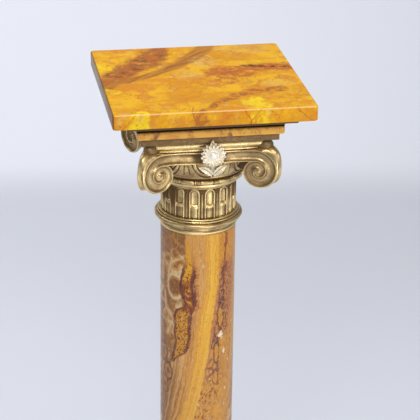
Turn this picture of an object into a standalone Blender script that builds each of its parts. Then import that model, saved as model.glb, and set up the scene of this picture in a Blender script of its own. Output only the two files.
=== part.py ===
"""A marble pedestal column with gilt bronze mounts.

A square marble top on a bronze plate and a smaller marble slab, over an Ionic capital cast in bronze
with scrolls at its four corners, a fluted bronze neck, a bronze collar, a round marble shaft, and below
it a bronze foot ring on a marble step and plinth. The capital has a gilt flower sprig on its front and back.
The pieces stand on each other on one axis, +Z up, with the origin under the middle of the plinth.
"""

import math

import bmesh
import bpy
from mathutils import Matrix, Vector

# Heights of the pieces, from the floor up
PLINTH_HEIGHT = 0.060
STEP_HEIGHT = 0.022
FOOT_HEIGHT = 0.058
SHAFT_LENGTH = 0.673
COLLAR_HEIGHT = 0.0274
NECK_HEIGHT = 0.0563
CAPITAL_HEIGHT = 0.0968
LOWER_SLAB_HEIGHT = 0.0125
PLATE_STEP_HEIGHT = 0.0100
PLATE_HEIGHT = 0.0105
TOP_SLAB_HEIGHT = 0.0235
SEAT_GAP = 0.0003

# The top's side, how far each other square piece stands out past its neighbour, and the roundings
TOP_SLAB_SIDE = 0.300
PLATE_OVERHANG = 0.0167
PLATE_STEP_OVERHANG = 0.0005
LOWER_SLAB_OVERHANG = 0.0065
STEP_BORDER = 0.0230
PLINTH_BORDER = 0.0220
MARBLE_CORNER = 0.005
MARBLE_EDGE = 0.0018
PLATE_CORNER = 0.0015
PLATE_EDGE = 0.0012
PLATE_STEP_EDGE = 0.0025

# Round pieces
SHAFT_RADIUS = 0.0590
RING_PROUD = 0.0014
COLLAR_BEAD_RADIUS = 0.0038
COLLAR_BEAD_REACH = 0.0100
COLLAR_BEAD_RISE = 0.0184
COLLAR_STEP_REACH = 0.0046
COLLAR_STEP_HEIGHT = 0.0030
COLLAR_LIP_HEIGHT = 0.0030
COLLAR_LIP_PROUD = 0.0006
FOOT_BEAD_RADIUS = 0.0105
FOOT_BEAD_REACH = 0.0280
FOOT_UPPER_BEAD_RADIUS = 0.0035
FOOT_UPPER_BEAD_REACH = 0.0095
FOOT_BAND_HEIGHT = 0.0120
FOOT_FILLET_HEIGHT = 0.0030
FOOT_FILLET_INSET = 0.0020
ROUND_STEPS = 32

# Neck: flutes with a cable in their lower half
FLUTES = 15
FLUTE_TURN = 8.3
FLUTE_HALF_WIDTH = 0.0056
FLUTE_EDGE = 0.0016
FLUTE_DEPTH = 0.0032
CABLE_DEPTH = 0.0012
CABLE_HEIGHT = 0.0200
CABLE_LIP = 0.0015
ARCH_RISE = 0.0055
NECK_FLARE_HEIGHT = 0.0087
NECK_FLARE_REACH = 0.0085

# Capital: echinus with eggs and darts, and a string of long beads below it
EGGS = 8
EGG_DEPTH = 0.0030
ECHINUS_HEIGHT = 0.0280
ECHINUS_REACH = 0.0276
ECHINUS_FOOT_REACH = 0.0170
ECHINUS_SEAT = 0.0060
BELL_INSET = 0.0100
BEADS = 15
BEAD_NOTCH_TURN = 12.8
BELL_STEPS = 120
BEAD_RADIUS = 0.0040
BEAD_REACH = 0.0140
BEAD_NOTCH = 0.0024
BAND_HEIGHT = 0.0042
BAND_REACH = 0.0107

# Capital: abacus
ABACUS_OVERHANG = 0.0165
ABACUS_FILLET = 0.0115
ABACUS_MOULD_HEIGHT = 0.0175
ABACUS_MOULD_DEPTH = 0.0130
ABACUS_BED_HEIGHT = 0.0060
ABACUS_BED_INSET = 0.0030
ABACUS_CORNER = 0.0010

# Capital: scrolls, and the hem that runs from scroll to scroll on each face
HEM_PROUD = 0.0004
HEM_THICKNESS = 0.0120
HEM_SAG = 0.0030
EYE_FORWARD = 0.0095
EYE_INSET = 0.0145
SCROLL_TURN_IN = 25.0
SCROLL_RADIUS = 0.0345
SCROLL_TURNS = 2.4
SCROLL_SHRINK = 1.25
SCROLL_SHOWN_TURNS = 1.75
SCROLL_STEPS = 12
RIM_WIDTH = 0.0022
CHANNEL_DEPTH = 0.0040
TROUGH_DEPTH = 0.0030
CREST_HEIGHT = 0.0150
WEB_HALF_WIDTH = 0.0070
WEB_DROP = 0.0080
WEB_PAST_EYE = 0.0035
HEM_TAIL = 0.0040
HEM_SUNK = 0.0015
HEM_SKIN = 0.0002

# Flower sprigs
PETALS = 16
FLOWER_RADIUS = 0.0190
FLOWER_NOTCH = 0.0045
FLOWER_DOME = 0.0050
BUTTON_RADIUS = 0.0062
BUTTON_HEIGHT = 0.0042
FLOWER_STAND_OFF = 0.0190
FLOWER_ABOVE_HEM = 0.0050
FLOWER_SHIFT = 0.0035
LEAF_SPREAD = 0.0220
LEAF_DROP = 0.0200
LEAF_WIDTH = 0.0046
LEAF_THICKNESS = 0.0030
LEAF_FORWARD = 0.0040
SPRIG_DROP = 0.0330
STEM_HALF_WIDTH = 0.0026
STEM_HALF_DEPTH = 0.0016
PIN_HALF_WIDTH = 0.0035
PIN_HALF_HEIGHT = 0.0020

# Worked out from the values above
NECK_RADIUS = SHAFT_RADIUS
ECHINUS_RADIUS = NECK_RADIUS + ECHINUS_REACH
HEM_OUT = ECHINUS_RADIUS + HEM_PROUD
EYE_OUT = HEM_OUT + EYE_FORWARD
EYE_SIDE = HEM_OUT - EYE_INSET
ABACUS_HALF = HEM_OUT + ABACUS_OVERHANG
LOWER_SLAB_SIDE = 2 * (ABACUS_HALF + LOWER_SLAB_OVERHANG)
PLATE_STEP_SIDE = LOWER_SLAB_SIDE + 2 * PLATE_STEP_OVERHANG
PLATE_SIDE = LOWER_SLAB_SIDE + 2 * PLATE_OVERHANG
STEP_SIDE = 2 * (SHAFT_RADIUS + FOOT_BEAD_REACH + STEP_BORDER)
PLINTH_SIDE = STEP_SIDE + 2 * PLINTH_BORDER

STEP_BASE = PLINTH_HEIGHT
FOOT_BASE = STEP_BASE + STEP_HEIGHT
SHAFT_BASE = FOOT_BASE + FOOT_HEIGHT
COLLAR_BASE = SHAFT_BASE + SHAFT_LENGTH
NECK_BASE = COLLAR_BASE + COLLAR_HEIGHT
CAPITAL_BASE = NECK_BASE + NECK_HEIGHT
LOWER_SLAB_BASE = CAPITAL_BASE + CAPITAL_HEIGHT
PLATE_STEP_BASE = LOWER_SLAB_BASE + LOWER_SLAB_HEIGHT
PLATE_BASE = PLATE_STEP_BASE + PLATE_STEP_HEIGHT
TOP_SLAB_BASE = PLATE_BASE + PLATE_HEIGHT

MOULD_FOOT = LOWER_SLAB_BASE - ABACUS_FILLET - ABACUS_MOULD_HEIGHT
EYE_HEIGHT = MOULD_FOOT - SCROLL_RADIUS
BAND_TOP = CAPITAL_BASE + BAND_HEIGHT
BEAD_HEIGHT = BAND_TOP + BEAD_RADIUS
BEAD_TOP = BEAD_HEIGHT + BEAD_RADIUS
ECHINUS_FOOT = BEAD_TOP + ECHINUS_SEAT
ECHINUS_TOP = ECHINUS_FOOT + ECHINUS_HEIGHT


def metal_or_stone(name, colour, roughness, metallic):
    """A plain material in the part's own colour."""
    material = bpy.data.materials.new(name)
    material.use_nodes = True
    shader = material.node_tree.nodes["Principled BSDF"]
    shader.inputs["Base Color"].default_value = (*colour, 1)
    shader.inputs["Roughness"].default_value = roughness
    shader.inputs["Metallic"].default_value = metallic
    return material


def placed(name, bm, material):
    """The object made from a finished bmesh, with smooth round faces and sharp arrises."""
    bmesh.ops.recalc_face_normals(bm, faces=bm.faces)
    mesh = bpy.data.meshes.new(name)
    bm.to_mesh(mesh)
    bm.free()
    mesh.shade_smooth()
    mesh.set_sharp_from_angle(angle=math.radians(35))
    mesh.materials.append(material)
    made = bpy.data.objects.new(name, mesh)
    bpy.context.scene.collection.objects.link(made)
    return made


def helper(name, bm, material):
    """A solid that is only fused into another one."""
    made = placed(name, bm, material)
    made.hide_render = True
    made.display_type = "WIRE"
    return made


def fuse(target, helpers):
    """Joins helper solids to the target as one body."""
    for other in helpers:
        union = target.modifiers.new(other.name, "BOOLEAN")
        union.operation = "UNION"
        union.solver = "EXACT"
        union.object = other


def loft(bm, rings):
    """A closed solid through rings of points, bottom ring first, with a flat cap at each end."""
    rows = [[bm.verts.new(point) for point in ring] for ring in rings]
    for low, high in zip(rows, rows[1:]):
        for i in range(len(low)):
            j = (i + 1) % len(low)
            bm.faces.new((low[i], low[j], high[j], high[i]))
    bm.faces.new(reversed(rows[0]))
    bm.faces.new(rows[-1])


def arc(centre, radius, start, end, steps):
    """Points of a circular arc as (distance from the axis, height), angles in degrees from outwards."""
    points = []
    for i in range(steps + 1):
        angle = math.radians(start + (end - start) * i / steps)
        points.append((centre[0] + radius * math.cos(angle), centre[1] + radius * math.sin(angle)))
    return points


def square_ring(half, corner, z, steps=2):
    """A square with rounded corners, centred on the axis."""
    ring = []
    for quarter in range(4):
        middle = Vector((half - corner, half - corner, z))
        for i in range(steps + 1):
            angle = math.radians(90 * i / steps)
            point = middle + corner * Vector((math.cos(angle), math.sin(angle), 0))
            ring.append(Matrix.Rotation(math.radians(90 * quarter), 3, "Z") @ point)
    return ring


def turned(profile, steps=ROUND_STEPS):
    """A solid of revolution from (radius, height) points, bottom first."""
    bm = bmesh.new()
    rings = []
    for radius, z in profile:
        angles = [2 * math.pi * i / steps for i in range(steps)]
        rings.append([(radius * math.cos(a), radius * math.sin(a), z) for a in angles])
    loft(bm, rings)
    return bm


def eased_rings(side, corner, edge, low, top):
    """A square slab with rounded corners and eased edges, as rings from its bottom to its top."""
    half = side / 2
    return [
        square_ring(half - edge, corner, low),
        square_ring(half, corner, low + edge),
        square_ring(half, corner, top - edge),
        square_ring(half - edge, corner, top),
    ]


def slab(name, side, base, height, material):
    """A marble slab, standing on what is below it."""
    low = base + SEAT_GAP if base else 0.0
    bm = bmesh.new()
    loft(bm, eased_rings(side, MARBLE_CORNER, MARBLE_EDGE, low, base + height))
    return placed(name, bm, material)


def under_plate(material):
    """The bronze plate under the top: a rounded step on the lower slab, and the wider plate over it."""
    low = PLATE_STEP_BASE + SEAT_GAP
    bm = bmesh.new()
    rings = eased_rings(PLATE_STEP_SIDE, PLATE_CORNER, PLATE_STEP_EDGE, low, PLATE_BASE)
    rings += eased_rings(PLATE_SIDE, PLATE_CORNER, PLATE_EDGE, PLATE_BASE, TOP_SLAB_BASE)
    loft(bm, rings)
    return placed("under_plate", bm, material)


def shaft(material):
    """The marble shaft."""
    low = SHAFT_BASE + SEAT_GAP
    top = SHAFT_BASE + SHAFT_LENGTH
    bm = turned([(SHAFT_RADIUS, low), (SHAFT_RADIUS, top)])
    return placed("shaft", bm, material)


def foot_ring(material):
    """The bronze foot: a large bead, a hollow, a small bead and a band that meets the shaft."""
    low = FOOT_BASE + SEAT_GAP
    top = FOOT_BASE + FOOT_HEIGHT
    band = SHAFT_RADIUS + RING_PROUD
    bead = SHAFT_RADIUS + FOOT_BEAD_REACH - FOOT_BEAD_RADIUS
    bead_top = low + 2 * FOOT_BEAD_RADIUS
    upper = SHAFT_RADIUS + FOOT_UPPER_BEAD_REACH - FOOT_UPPER_BEAD_RADIUS
    upper_middle = top - FOOT_BAND_HEIGHT - FOOT_UPPER_BEAD_RADIUS
    fillet = bead - FOOT_FILLET_INSET
    hollow_foot = bead_top + FOOT_FILLET_HEIGHT
    hollow_head = upper_middle - FOOT_UPPER_BEAD_RADIUS
    profile = arc((bead, low + FOOT_BEAD_RADIUS), FOOT_BEAD_RADIUS, -90, 90, 6)
    profile += [(fillet, bead_top), (fillet, hollow_foot)]
    for i in range(1, 4):
        turn = i / 3 * math.pi / 2
        rise = (hollow_head - hollow_foot) * (1 - math.cos(turn))
        profile.append((fillet + (upper - fillet) * math.sin(turn), hollow_foot + rise))
    profile += arc((upper, upper_middle), FOOT_UPPER_BEAD_RADIUS, -60, 90, 3)
    profile += [(band, top - FOOT_BAND_HEIGHT), (band, top)]
    return placed("foot_ring", turned(profile), material)


def collar_ring(material):
    """The bronze collar over the shaft: a plain band, a round bead that stands out, and a step on top."""
    low = COLLAR_BASE + SEAT_GAP
    top = COLLAR_BASE + COLLAR_HEIGHT
    band = SHAFT_RADIUS + RING_PROUD
    bead = SHAFT_RADIUS + COLLAR_BEAD_REACH - COLLAR_BEAD_RADIUS
    middle = COLLAR_BASE + COLLAR_BEAD_RISE
    above_lip = band - COLLAR_LIP_PROUD
    step = SHAFT_RADIUS + COLLAR_STEP_REACH
    profile = [(band, low), (band, low + COLLAR_LIP_HEIGHT), (above_lip, low + 2 * COLLAR_LIP_HEIGHT)]
    profile += [(above_lip, middle - COLLAR_BEAD_RADIUS)]
    profile += arc((bead, middle), COLLAR_BEAD_RADIUS, -90, 70, 6)
    profile += [(step, top - COLLAR_STEP_HEIGHT), (step, top)]
    return placed("collar_ring", turned(profile), material)


def fluted_neck(material):
    """The bronze neck: round-headed flutes with a cable in the lower half, under a flaring rim."""
    low = NECK_BASE + SEAT_GAP
    top = NECK_BASE + NECK_HEIGHT
    flare_foot = top - NECK_FLARE_HEIGHT
    spring = flare_foot - ARCH_RISE
    cable_top = NECK_BASE + CABLE_HEIGHT
    edge = FLUTE_HALF_WIDTH + FLUTE_EDGE
    # Each level is its height, its radius, and how far the middle and the sides of a flute are sunk
    levels = [
        (low, NECK_RADIUS, CABLE_DEPTH, CABLE_DEPTH),
        (cable_top - CABLE_LIP, NECK_RADIUS, CABLE_DEPTH, CABLE_DEPTH),
        (cable_top, NECK_RADIUS, FLUTE_DEPTH, 0.7 * FLUTE_DEPTH),
        (spring, NECK_RADIUS, FLUTE_DEPTH, 0.7 * FLUTE_DEPTH),
        (spring + 0.7 * ARCH_RISE, NECK_RADIUS, 0.8 * FLUTE_DEPTH, 0.0),
        (flare_foot, NECK_RADIUS, 0.0, 0.0),
        (flare_foot + 0.55 * NECK_FLARE_HEIGHT, NECK_RADIUS + 0.28 * NECK_FLARE_REACH, 0.0, 0.0),
        (top, NECK_RADIUS + NECK_FLARE_REACH, 0.0, 0.0),
    ]
    bm = bmesh.new()
    rings = []
    for z, radius, middle_sunk, side_sunk in levels:
        ring = []
        for flute in range(FLUTES):
            centre = math.radians(FLUTE_TURN - 90 + 360 * flute / FLUTES)
            for across, sunk in (
                (-math.pi * NECK_RADIUS / FLUTES, 0.0),
                (-edge, 0.0),
                (-FLUTE_HALF_WIDTH, side_sunk),
                (0.0, middle_sunk),
                (FLUTE_HALF_WIDTH, side_sunk),
                (edge, 0.0),
            ):
                angle = centre + across / NECK_RADIUS
                ring.append(((radius - sunk) * math.cos(angle), (radius - sunk) * math.sin(angle), z))
        rings.append(ring)
    loft(bm, rings)
    return placed("fluted_neck", bm, material)


def egg_sunk(angle):
    """How deep the echinus is cut at an angle, in degrees from a face's middle: eggs, shells and darts."""
    period = 360 / EGGS
    across = abs((angle + period / 2) % period - period / 2) / (period / 2)
    stops = [(0.0, 0.0), (0.34, 0.15), (0.50, 1.0), (0.67, 0.0), (0.84, 1.0), (1.0, 0.1)]
    for (start, low), (end, high) in zip(stops, stops[1:]):
        if across <= end:
            return EGG_DEPTH * (low + (high - low) * (across - start) / (end - start))
    return 0.0


def bead_sunk(angle):
    """How deep the string of beads is notched at an angle: a notch between each two long beads."""
    period = 360 / BEADS
    across = abs((angle - BEAD_NOTCH_TURN + period / 2) % period - period / 2) / (period / 2)
    return BEAD_NOTCH if across < 0.1 else 0.0


def bell():
    """The round body of the capital: a band, the string of beads, and the carved echinus."""
    band = NECK_RADIUS + BAND_REACH
    bead = NECK_RADIUS + BEAD_REACH - BEAD_RADIUS
    foot = NECK_RADIUS + ECHINUS_FOOT_REACH
    waist = (ECHINUS_FOOT + BEAD_TOP) / 2
    # Each level is a radius, a height, and the shares of egg and bead carving there
    levels = [
        (band, CAPITAL_BASE + SEAT_GAP, 0, 0),
        (band, BAND_TOP, 0, 0),
        (bead + 0.7 * BEAD_RADIUS, BEAD_HEIGHT - 0.7 * BEAD_RADIUS, 0, 1),
        (bead + BEAD_RADIUS, BEAD_HEIGHT, 0, 1),
        (bead + 0.7 * BEAD_RADIUS, BEAD_HEIGHT + 0.7 * BEAD_RADIUS, 0, 1),
        (bead, BEAD_TOP, 0, 0),
        (bead + 0.3 * (foot - bead), waist, 0, 0),
        (foot, ECHINUS_FOOT, 0.4, 0),
    ]
    for share in (0.35, 0.7, 1.0):
        swell = math.sin(share * math.pi / 2)
        radius = foot + (ECHINUS_RADIUS - foot) * swell
        levels.append((radius, ECHINUS_FOOT + share * ECHINUS_HEIGHT, 1.0, 0))
    levels.append((ECHINUS_RADIUS - BELL_INSET, MOULD_FOOT - ABACUS_BED_HEIGHT / 2, 0, 0))
    bm = bmesh.new()
    rings = []
    for radius, z, eggs, beads in levels:
        ring = []
        for i in range(BELL_STEPS):
            turn = 360 * i / BELL_STEPS
            cut = eggs * egg_sunk(turn) + beads * bead_sunk(turn)
            angle = math.radians(turn - 90)
            ring.append(((radius - cut) * math.cos(angle), (radius - cut) * math.sin(angle), z))
        rings.append(ring)
    loft(bm, rings)
    return bm


def abacus():
    """The square top of the capital: a bed, a hollow moulding and a plain fillet."""
    foot_half = ABACUS_HALF - ABACUS_MOULD_DEPTH
    bed_half = HEM_OUT - ABACUS_BED_INSET
    head = LOWER_SLAB_BASE - ABACUS_FILLET
    neck_half = ABACUS_HALF - 0.25 * ABACUS_MOULD_DEPTH
    rings = [
        square_ring(bed_half, ABACUS_CORNER, MOULD_FOOT - ABACUS_BED_HEIGHT, 1),
        square_ring(bed_half, ABACUS_CORNER, MOULD_FOOT, 1),
        square_ring(foot_half, ABACUS_CORNER, MOULD_FOOT, 1),
    ]
    for share in (0.3, 0.6, 0.9):
        half = foot_half + (neck_half - foot_half) * (1 - math.cos(share * math.pi / 2))
        rings.append(square_ring(half, ABACUS_CORNER, MOULD_FOOT + share * ABACUS_MOULD_HEIGHT, 1))
    rings.append(square_ring(neck_half, ABACUS_CORNER, head, 1))
    rings.append(square_ring(ABACUS_HALF, ABACUS_CORNER, head, 1))
    rings.append(square_ring(ABACUS_HALF, ABACUS_CORNER, LOWER_SLAB_BASE, 1))
    bm = bmesh.new()
    loft(bm, rings)
    return bm


def scroll_radius(turns):
    """The scroll's distance from its eye after that many turns from the top."""
    left = max(0.0, 1 - turns / SCROLL_TURNS)
    return SCROLL_RADIUS * left**SCROLL_SHRINK


def channel_section(width):
    """Points across the channel, from its outer rim inwards, as (distance, depth below the rim)."""
    depth = CHANNEL_DEPTH * width / (SCROLL_RADIUS - scroll_radius(1))
    rim = RIM_WIDTH * width / (SCROLL_RADIUS - scroll_radius(1))
    return [(0.0, 0.0), (rim, 0.0), (0.45 * width, depth)]


def scroll_point(turns, inwards, depth):
    """A point on the front scroll of the front right corner."""
    lean = math.radians(SCROLL_TURN_IN)
    outward = Vector((math.cos(lean), -math.sin(lean), 0))
    facing = Vector((-math.sin(lean), -math.cos(lean), 0))
    angle = math.radians(90 - 360 * turns)
    reach = max(0.0, scroll_radius(turns) - inwards)
    eye = Vector((EYE_SIDE, -EYE_OUT, EYE_HEIGHT))
    return eye + reach * (math.cos(angle) * outward + math.sin(angle) * Vector((0, 0, 1))) - depth * facing


def across_corner(point):
    """The same point mirrored to the corner's other face."""
    return Vector((-point.y, -point.x, point.z))


def corner_row(turns):
    """Points of the band between the two scrolls of a corner, at one place along their rims."""
    near = scroll_point(turns, 0.0, 0.0)
    far = across_corner(near)
    angle = math.radians(90 - 360 * turns)
    diagonal = Vector((1, -1, 0)).normalized()
    away = math.cos(angle) * diagonal + math.sin(angle) * Vector((0, 0, 1))
    rise = min(1.0, max(0.0, (math.degrees(angle) - 20) / 70)) ** 1.5
    swell = CREST_HEIGHT * rise - TROUGH_DEPTH * (1 - rise)
    return [(near + far) / 2 + swell * away]


def scroll_face(bm, mirrored):
    """One carved scroll: rows of vertices along the spiral, closed at the eye. Returns the rows."""
    count = round(SCROLL_SHOWN_TURNS * SCROLL_STEPS)
    rows = []
    for i in range(count + 1):
        turns = i / SCROLL_STEPS
        width = scroll_radius(turns) - (scroll_radius(turns + 1) if i + SCROLL_STEPS <= count else 0.0)
        row = []
        for inwards, depth in channel_section(width):
            point = scroll_point(turns, inwards, depth)
            row.append(bm.verts.new(across_corner(point) if mirrored else point))
        rows.append(row)
    heart = scroll_point(0, SCROLL_RADIUS, 0.3 * CHANNEL_DEPTH)
    middle = bm.verts.new(across_corner(heart) if mirrored else heart)
    last = len(rows[0]) - 1
    for i in range(count):
        near, far = rows[i], rows[i + 1]
        for k in range(last):
            bm.faces.new((near[k], near[k + 1], far[k + 1], far[k]))
        if i + SCROLL_STEPS < count:
            bm.faces.new((near[last], rows[i + SCROLL_STEPS][0], rows[i + 1 + SCROLL_STEPS][0], far[last]))
        elif i + SCROLL_STEPS == count:
            bm.faces.new((near[last], *rows[count], middle, far[last]))
        else:
            bm.faces.new((near[last], middle, far[last]))
    return rows


def corner_scrolls():
    """A corner of the capital: two scrolls back to back with a hollow band between their rims."""
    bm = bmesh.new()
    front = scroll_face(bm, False)
    side = scroll_face(bm, True)
    bands = []
    for i in range(SCROLL_STEPS + 1):
        middle = [bm.verts.new(point) for point in corner_row(i / SCROLL_STEPS)]
        bands.append([front[i][0], *middle, side[i][0]])
    for near, far in zip(bands, bands[1:]):
        for k in range(len(near) - 1):
            bm.faces.new((near[k], far[k], far[k + 1], near[k + 1]))
    # The wall that closes the corner where the two hems enter it
    walls = [bands[0]]
    for k in range(1, len(front[0])):
        a, b = front[0][k], side[0][k]
        walls.append([a, bm.verts.new((a.co + b.co) / 2), b])
    walls.append(bands[SCROLL_STEPS])
    for near, far in zip(walls, walls[1:]):
        for k in range(len(near) - 1):
            bm.faces.new((near[k], near[k + 1], far[k + 1], far[k]))
    return bm


def hem_line(x):
    """A point of the hem's face in plan, and its normal: flat in the middle, swinging out to the scrolls."""
    slope = math.tan(math.radians(SCROLL_TURN_IN))
    run = 2 * EYE_FORWARD / slope
    start = EYE_SIDE - run
    bend = min(max(0.0, abs(x) - start), run)
    past = max(0.0, abs(x) - EYE_SIDE)
    out = HEM_OUT + EYE_FORWARD * (bend / run) ** 2 + slope * past
    turn = math.copysign(slope * bend / run, x)
    return Vector((x, -out, 0)), Vector((-turn, -1, 0)).normalized()


def hem():
    """The hem of the front face: a channel between two rims, sagging a little, its ends in the scrolls."""
    height = SCROLL_RADIUS - scroll_radius(1)
    floor = [(0.25 * height, CHANNEL_DEPTH), (0.75 * height, CHANNEL_DEPTH)]
    section = [(0.0, 0.0), (RIM_WIDTH, 0.0), *floor, (height, 0.0), (height + RIM_WIDTH, 0.0)]
    steps = 8
    ends = EYE_SIDE + HEM_TAIL
    places = [-ends, *(EYE_SIDE * (2 * i / steps - 1) for i in range(steps + 1)), ends]
    bm = bmesh.new()
    rings = []
    for x in places:
        point, facing = hem_line(x)
        inset = HEM_SUNK if abs(x) > EYE_SIDE else HEM_SKIN
        sag = HEM_SAG * (1 - min(1.0, abs(x) / EYE_SIDE) ** 2)
        top = EYE_HEIGHT + SCROLL_RADIUS - sag - inset
        squeeze = 1 - 2 * inset / height
        ring = []
        for down, depth in section:
            ring.append(point - (depth + inset) * facing + Vector((0, 0, top - down * squeeze)))
        back = HEM_THICKNESS - HEM_OUT
        ring.append(Vector((x, back, ring[-1].z)))
        ring.append(Vector((x, back, ring[0].z)))
        rings.append(ring)
    loft(bm, rings)
    return bm


def web():
    """The metal behind the scrolls, running from the axis out along one diagonal."""
    start = ECHINUS_RADIUS / 2
    reach = math.hypot(EYE_SIDE, EYE_OUT) + WEB_PAST_EYE
    low, top = EYE_HEIGHT - WEB_DROP, MOULD_FOOT - ABACUS_BED_HEIGHT / 3
    bm = bmesh.new()
    rings = []
    for z in (low, top):
        corners = [(start, -1), (reach, -1), (reach, 1), (start, 1)]
        rings.append([Vector((u, side * WEB_HALF_WIDTH, z)) for u, side in corners])
    loft(bm, rings)
    bmesh.ops.rotate(bm, verts=bm.verts, matrix=Matrix.Rotation(math.radians(-45), 3, "Z"))
    return bm


def four_round(make):
    """The same solid on all four sides, as one mesh."""
    bm = bmesh.new()
    for quarter in range(4):
        one = make()
        bmesh.ops.rotate(one, verts=one.verts, matrix=Matrix.Rotation(math.radians(90 * quarter), 3, "Z"))
        mesh = bpy.data.meshes.new("one side")
        one.to_mesh(mesh)
        one.free()
        bm.from_mesh(mesh)
        bpy.data.meshes.remove(mesh)
    return bm


def capital(material):
    """The bronze capital, one casting: abacus, four hems, eight scrolls, echinus and beads."""
    whole = placed("capital", abacus(), material)
    pieces = [
        helper("capital_bell", bell(), material),
        helper("capital_webs", four_round(web), material),
        helper("capital_hems", four_round(hem), material),
        helper("capital_scrolls", four_round(corner_scrolls), material),
    ]
    fuse(whole, pieces)
    return whole


def rosette():
    """A daisy seen from the front, facing -Y, with its back at y = 0: petals round a domed button."""
    bm = bmesh.new()
    points = 2 * PETALS
    levels = [
        (0.55 * FLOWER_RADIUS, 0.55 * FLOWER_RADIUS, 0.0),
        (FLOWER_RADIUS, FLOWER_RADIUS - FLOWER_NOTCH, 0.6 * FLOWER_DOME),
        (BUTTON_RADIUS, BUTTON_RADIUS, FLOWER_DOME),
        (BUTTON_RADIUS * 0.6, BUTTON_RADIUS * 0.6, FLOWER_DOME + BUTTON_HEIGHT),
    ]
    rings = []
    for tip, notch, out in levels:
        ring = []
        for i in range(points):
            angle = 2 * math.pi * i / points
            radius = notch if i % 2 else tip
            ring.append((radius * math.cos(angle), -out, radius * math.sin(angle)))
        rings.append(ring)
    loft(bm, rings)
    return bm


def leaf(side):
    """One lance-shaped leaf, from the stem's foot out and up to its tip."""
    root = Vector((0, 0, -SPRIG_DROP))
    tip = Vector((side * LEAF_SPREAD, -LEAF_FORWARD, -LEAF_DROP))
    along = tip - root
    across = Vector((-along.z, 0, along.x)).normalized()
    bm = bmesh.new()
    rings = []
    for share, width in ((0.0, 0.35), (0.3, 0.9), (0.6, 1.0), (0.97, 0.12)):
        middle = root + share * along
        out = Vector((0, -LEAF_THICKNESS * (0.4 + 0.6 * width), 0))
        rim = across * LEAF_WIDTH * width
        rings.append([middle - rim, middle + out, middle + rim, middle - 0.4 * out])
    loft(bm, rings)
    return bm


def stem():
    """The stem behind the flower, with the foot that is pinned to the hem."""
    bm = bmesh.new()
    half = STEM_HALF_WIDTH
    rings = []
    for drop, thick in ((1.03, 1.0), (0.6, 1.9), (0.0, 1.0)):
        z = -drop * SPRIG_DROP
        out = thick * STEM_HALF_DEPTH
        rings.append([(-half, out, z), (-half, -out, z), (half, -out, z), (half, out, z)])
    loft(bm, rings)
    return bm


def pin():
    """The short pin between the flower's back and the hem."""
    bm = bmesh.new()
    rim_middle = FLOWER_ABOVE_HEM + 0.5 * RIM_WIDTH
    reach = FLOWER_STAND_OFF - SEAT_GAP
    rings = []
    for out in (-STEM_HALF_DEPTH, reach):
        angles = [2 * math.pi * i / 8 for i in range(8)]
        ring = [(PIN_HALF_WIDTH * math.cos(a), out, PIN_HALF_HEIGHT * math.sin(a)) for a in angles]
        rings.append([(x, y, z - rim_middle) for x, y, z in ring])
    loft(bm, rings)
    return bm


def flower_sprig(name, quarter, material):
    """A gilt flower with two leaves, pinned to the middle of a face's hem."""
    hem_top = EYE_HEIGHT + SCROLL_RADIUS - HEM_SAG
    place = Matrix.Translation((FLOWER_SHIFT, -HEM_OUT - FLOWER_STAND_OFF, hem_top + FLOWER_ABOVE_HEM))
    turn = Matrix.Rotation(math.radians(90 * quarter), 4, "Z")
    whole = placed(name, rosette(), material)
    parts = [("pin", pin()), ("stem", stem()), ("leaf_left", leaf(-1)), ("leaf_right", leaf(1))]
    helpers = [helper(name + "_" + word, bm, material) for word, bm in parts]
    for made in (whole, *helpers):
        made.matrix_world = turn @ place
    fuse(whole, helpers)
    return whole


def build():
    """Makes every piece of the column, from the floor up."""
    for old in list(bpy.data.objects):
        bpy.data.objects.remove(old)
    marble = metal_or_stone("orange_marble", (0.72, 0.36, 0.08), 0.15, 0.0)
    bronze = metal_or_stone("gilt_bronze", (0.55, 0.42, 0.20), 0.35, 1.0)
    bright = metal_or_stone("bright_gilt", (0.93, 0.84, 0.60), 0.25, 1.0)
    dark = metal_or_stone("brown_bronze", (0.20, 0.12, 0.06), 0.45, 1.0)
    slab("plinth", PLINTH_SIDE, 0.0, PLINTH_HEIGHT, marble)
    slab("plinth_step", STEP_SIDE, STEP_BASE, STEP_HEIGHT, marble)
    foot_ring(bronze)
    shaft(marble)
    collar_ring(bronze)
    fluted_neck(bronze)
    capital(bronze)
    flower_sprig("flower_front", 0, bright)
    flower_sprig("flower_back", 2, bright)
    slab("lower_slab", LOWER_SLAB_SIDE, LOWER_SLAB_BASE, LOWER_SLAB_HEIGHT, marble)
    under_plate(dark)
    slab("top_slab", TOP_SLAB_SIDE, TOP_SLAB_BASE, TOP_SLAB_HEIGHT, marble)


build()
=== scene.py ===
from math import cos, hypot, pi, radians, sin, sqrt, tan

import bmesh
import bpy
from mathutils import Matrix, Vector


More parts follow.
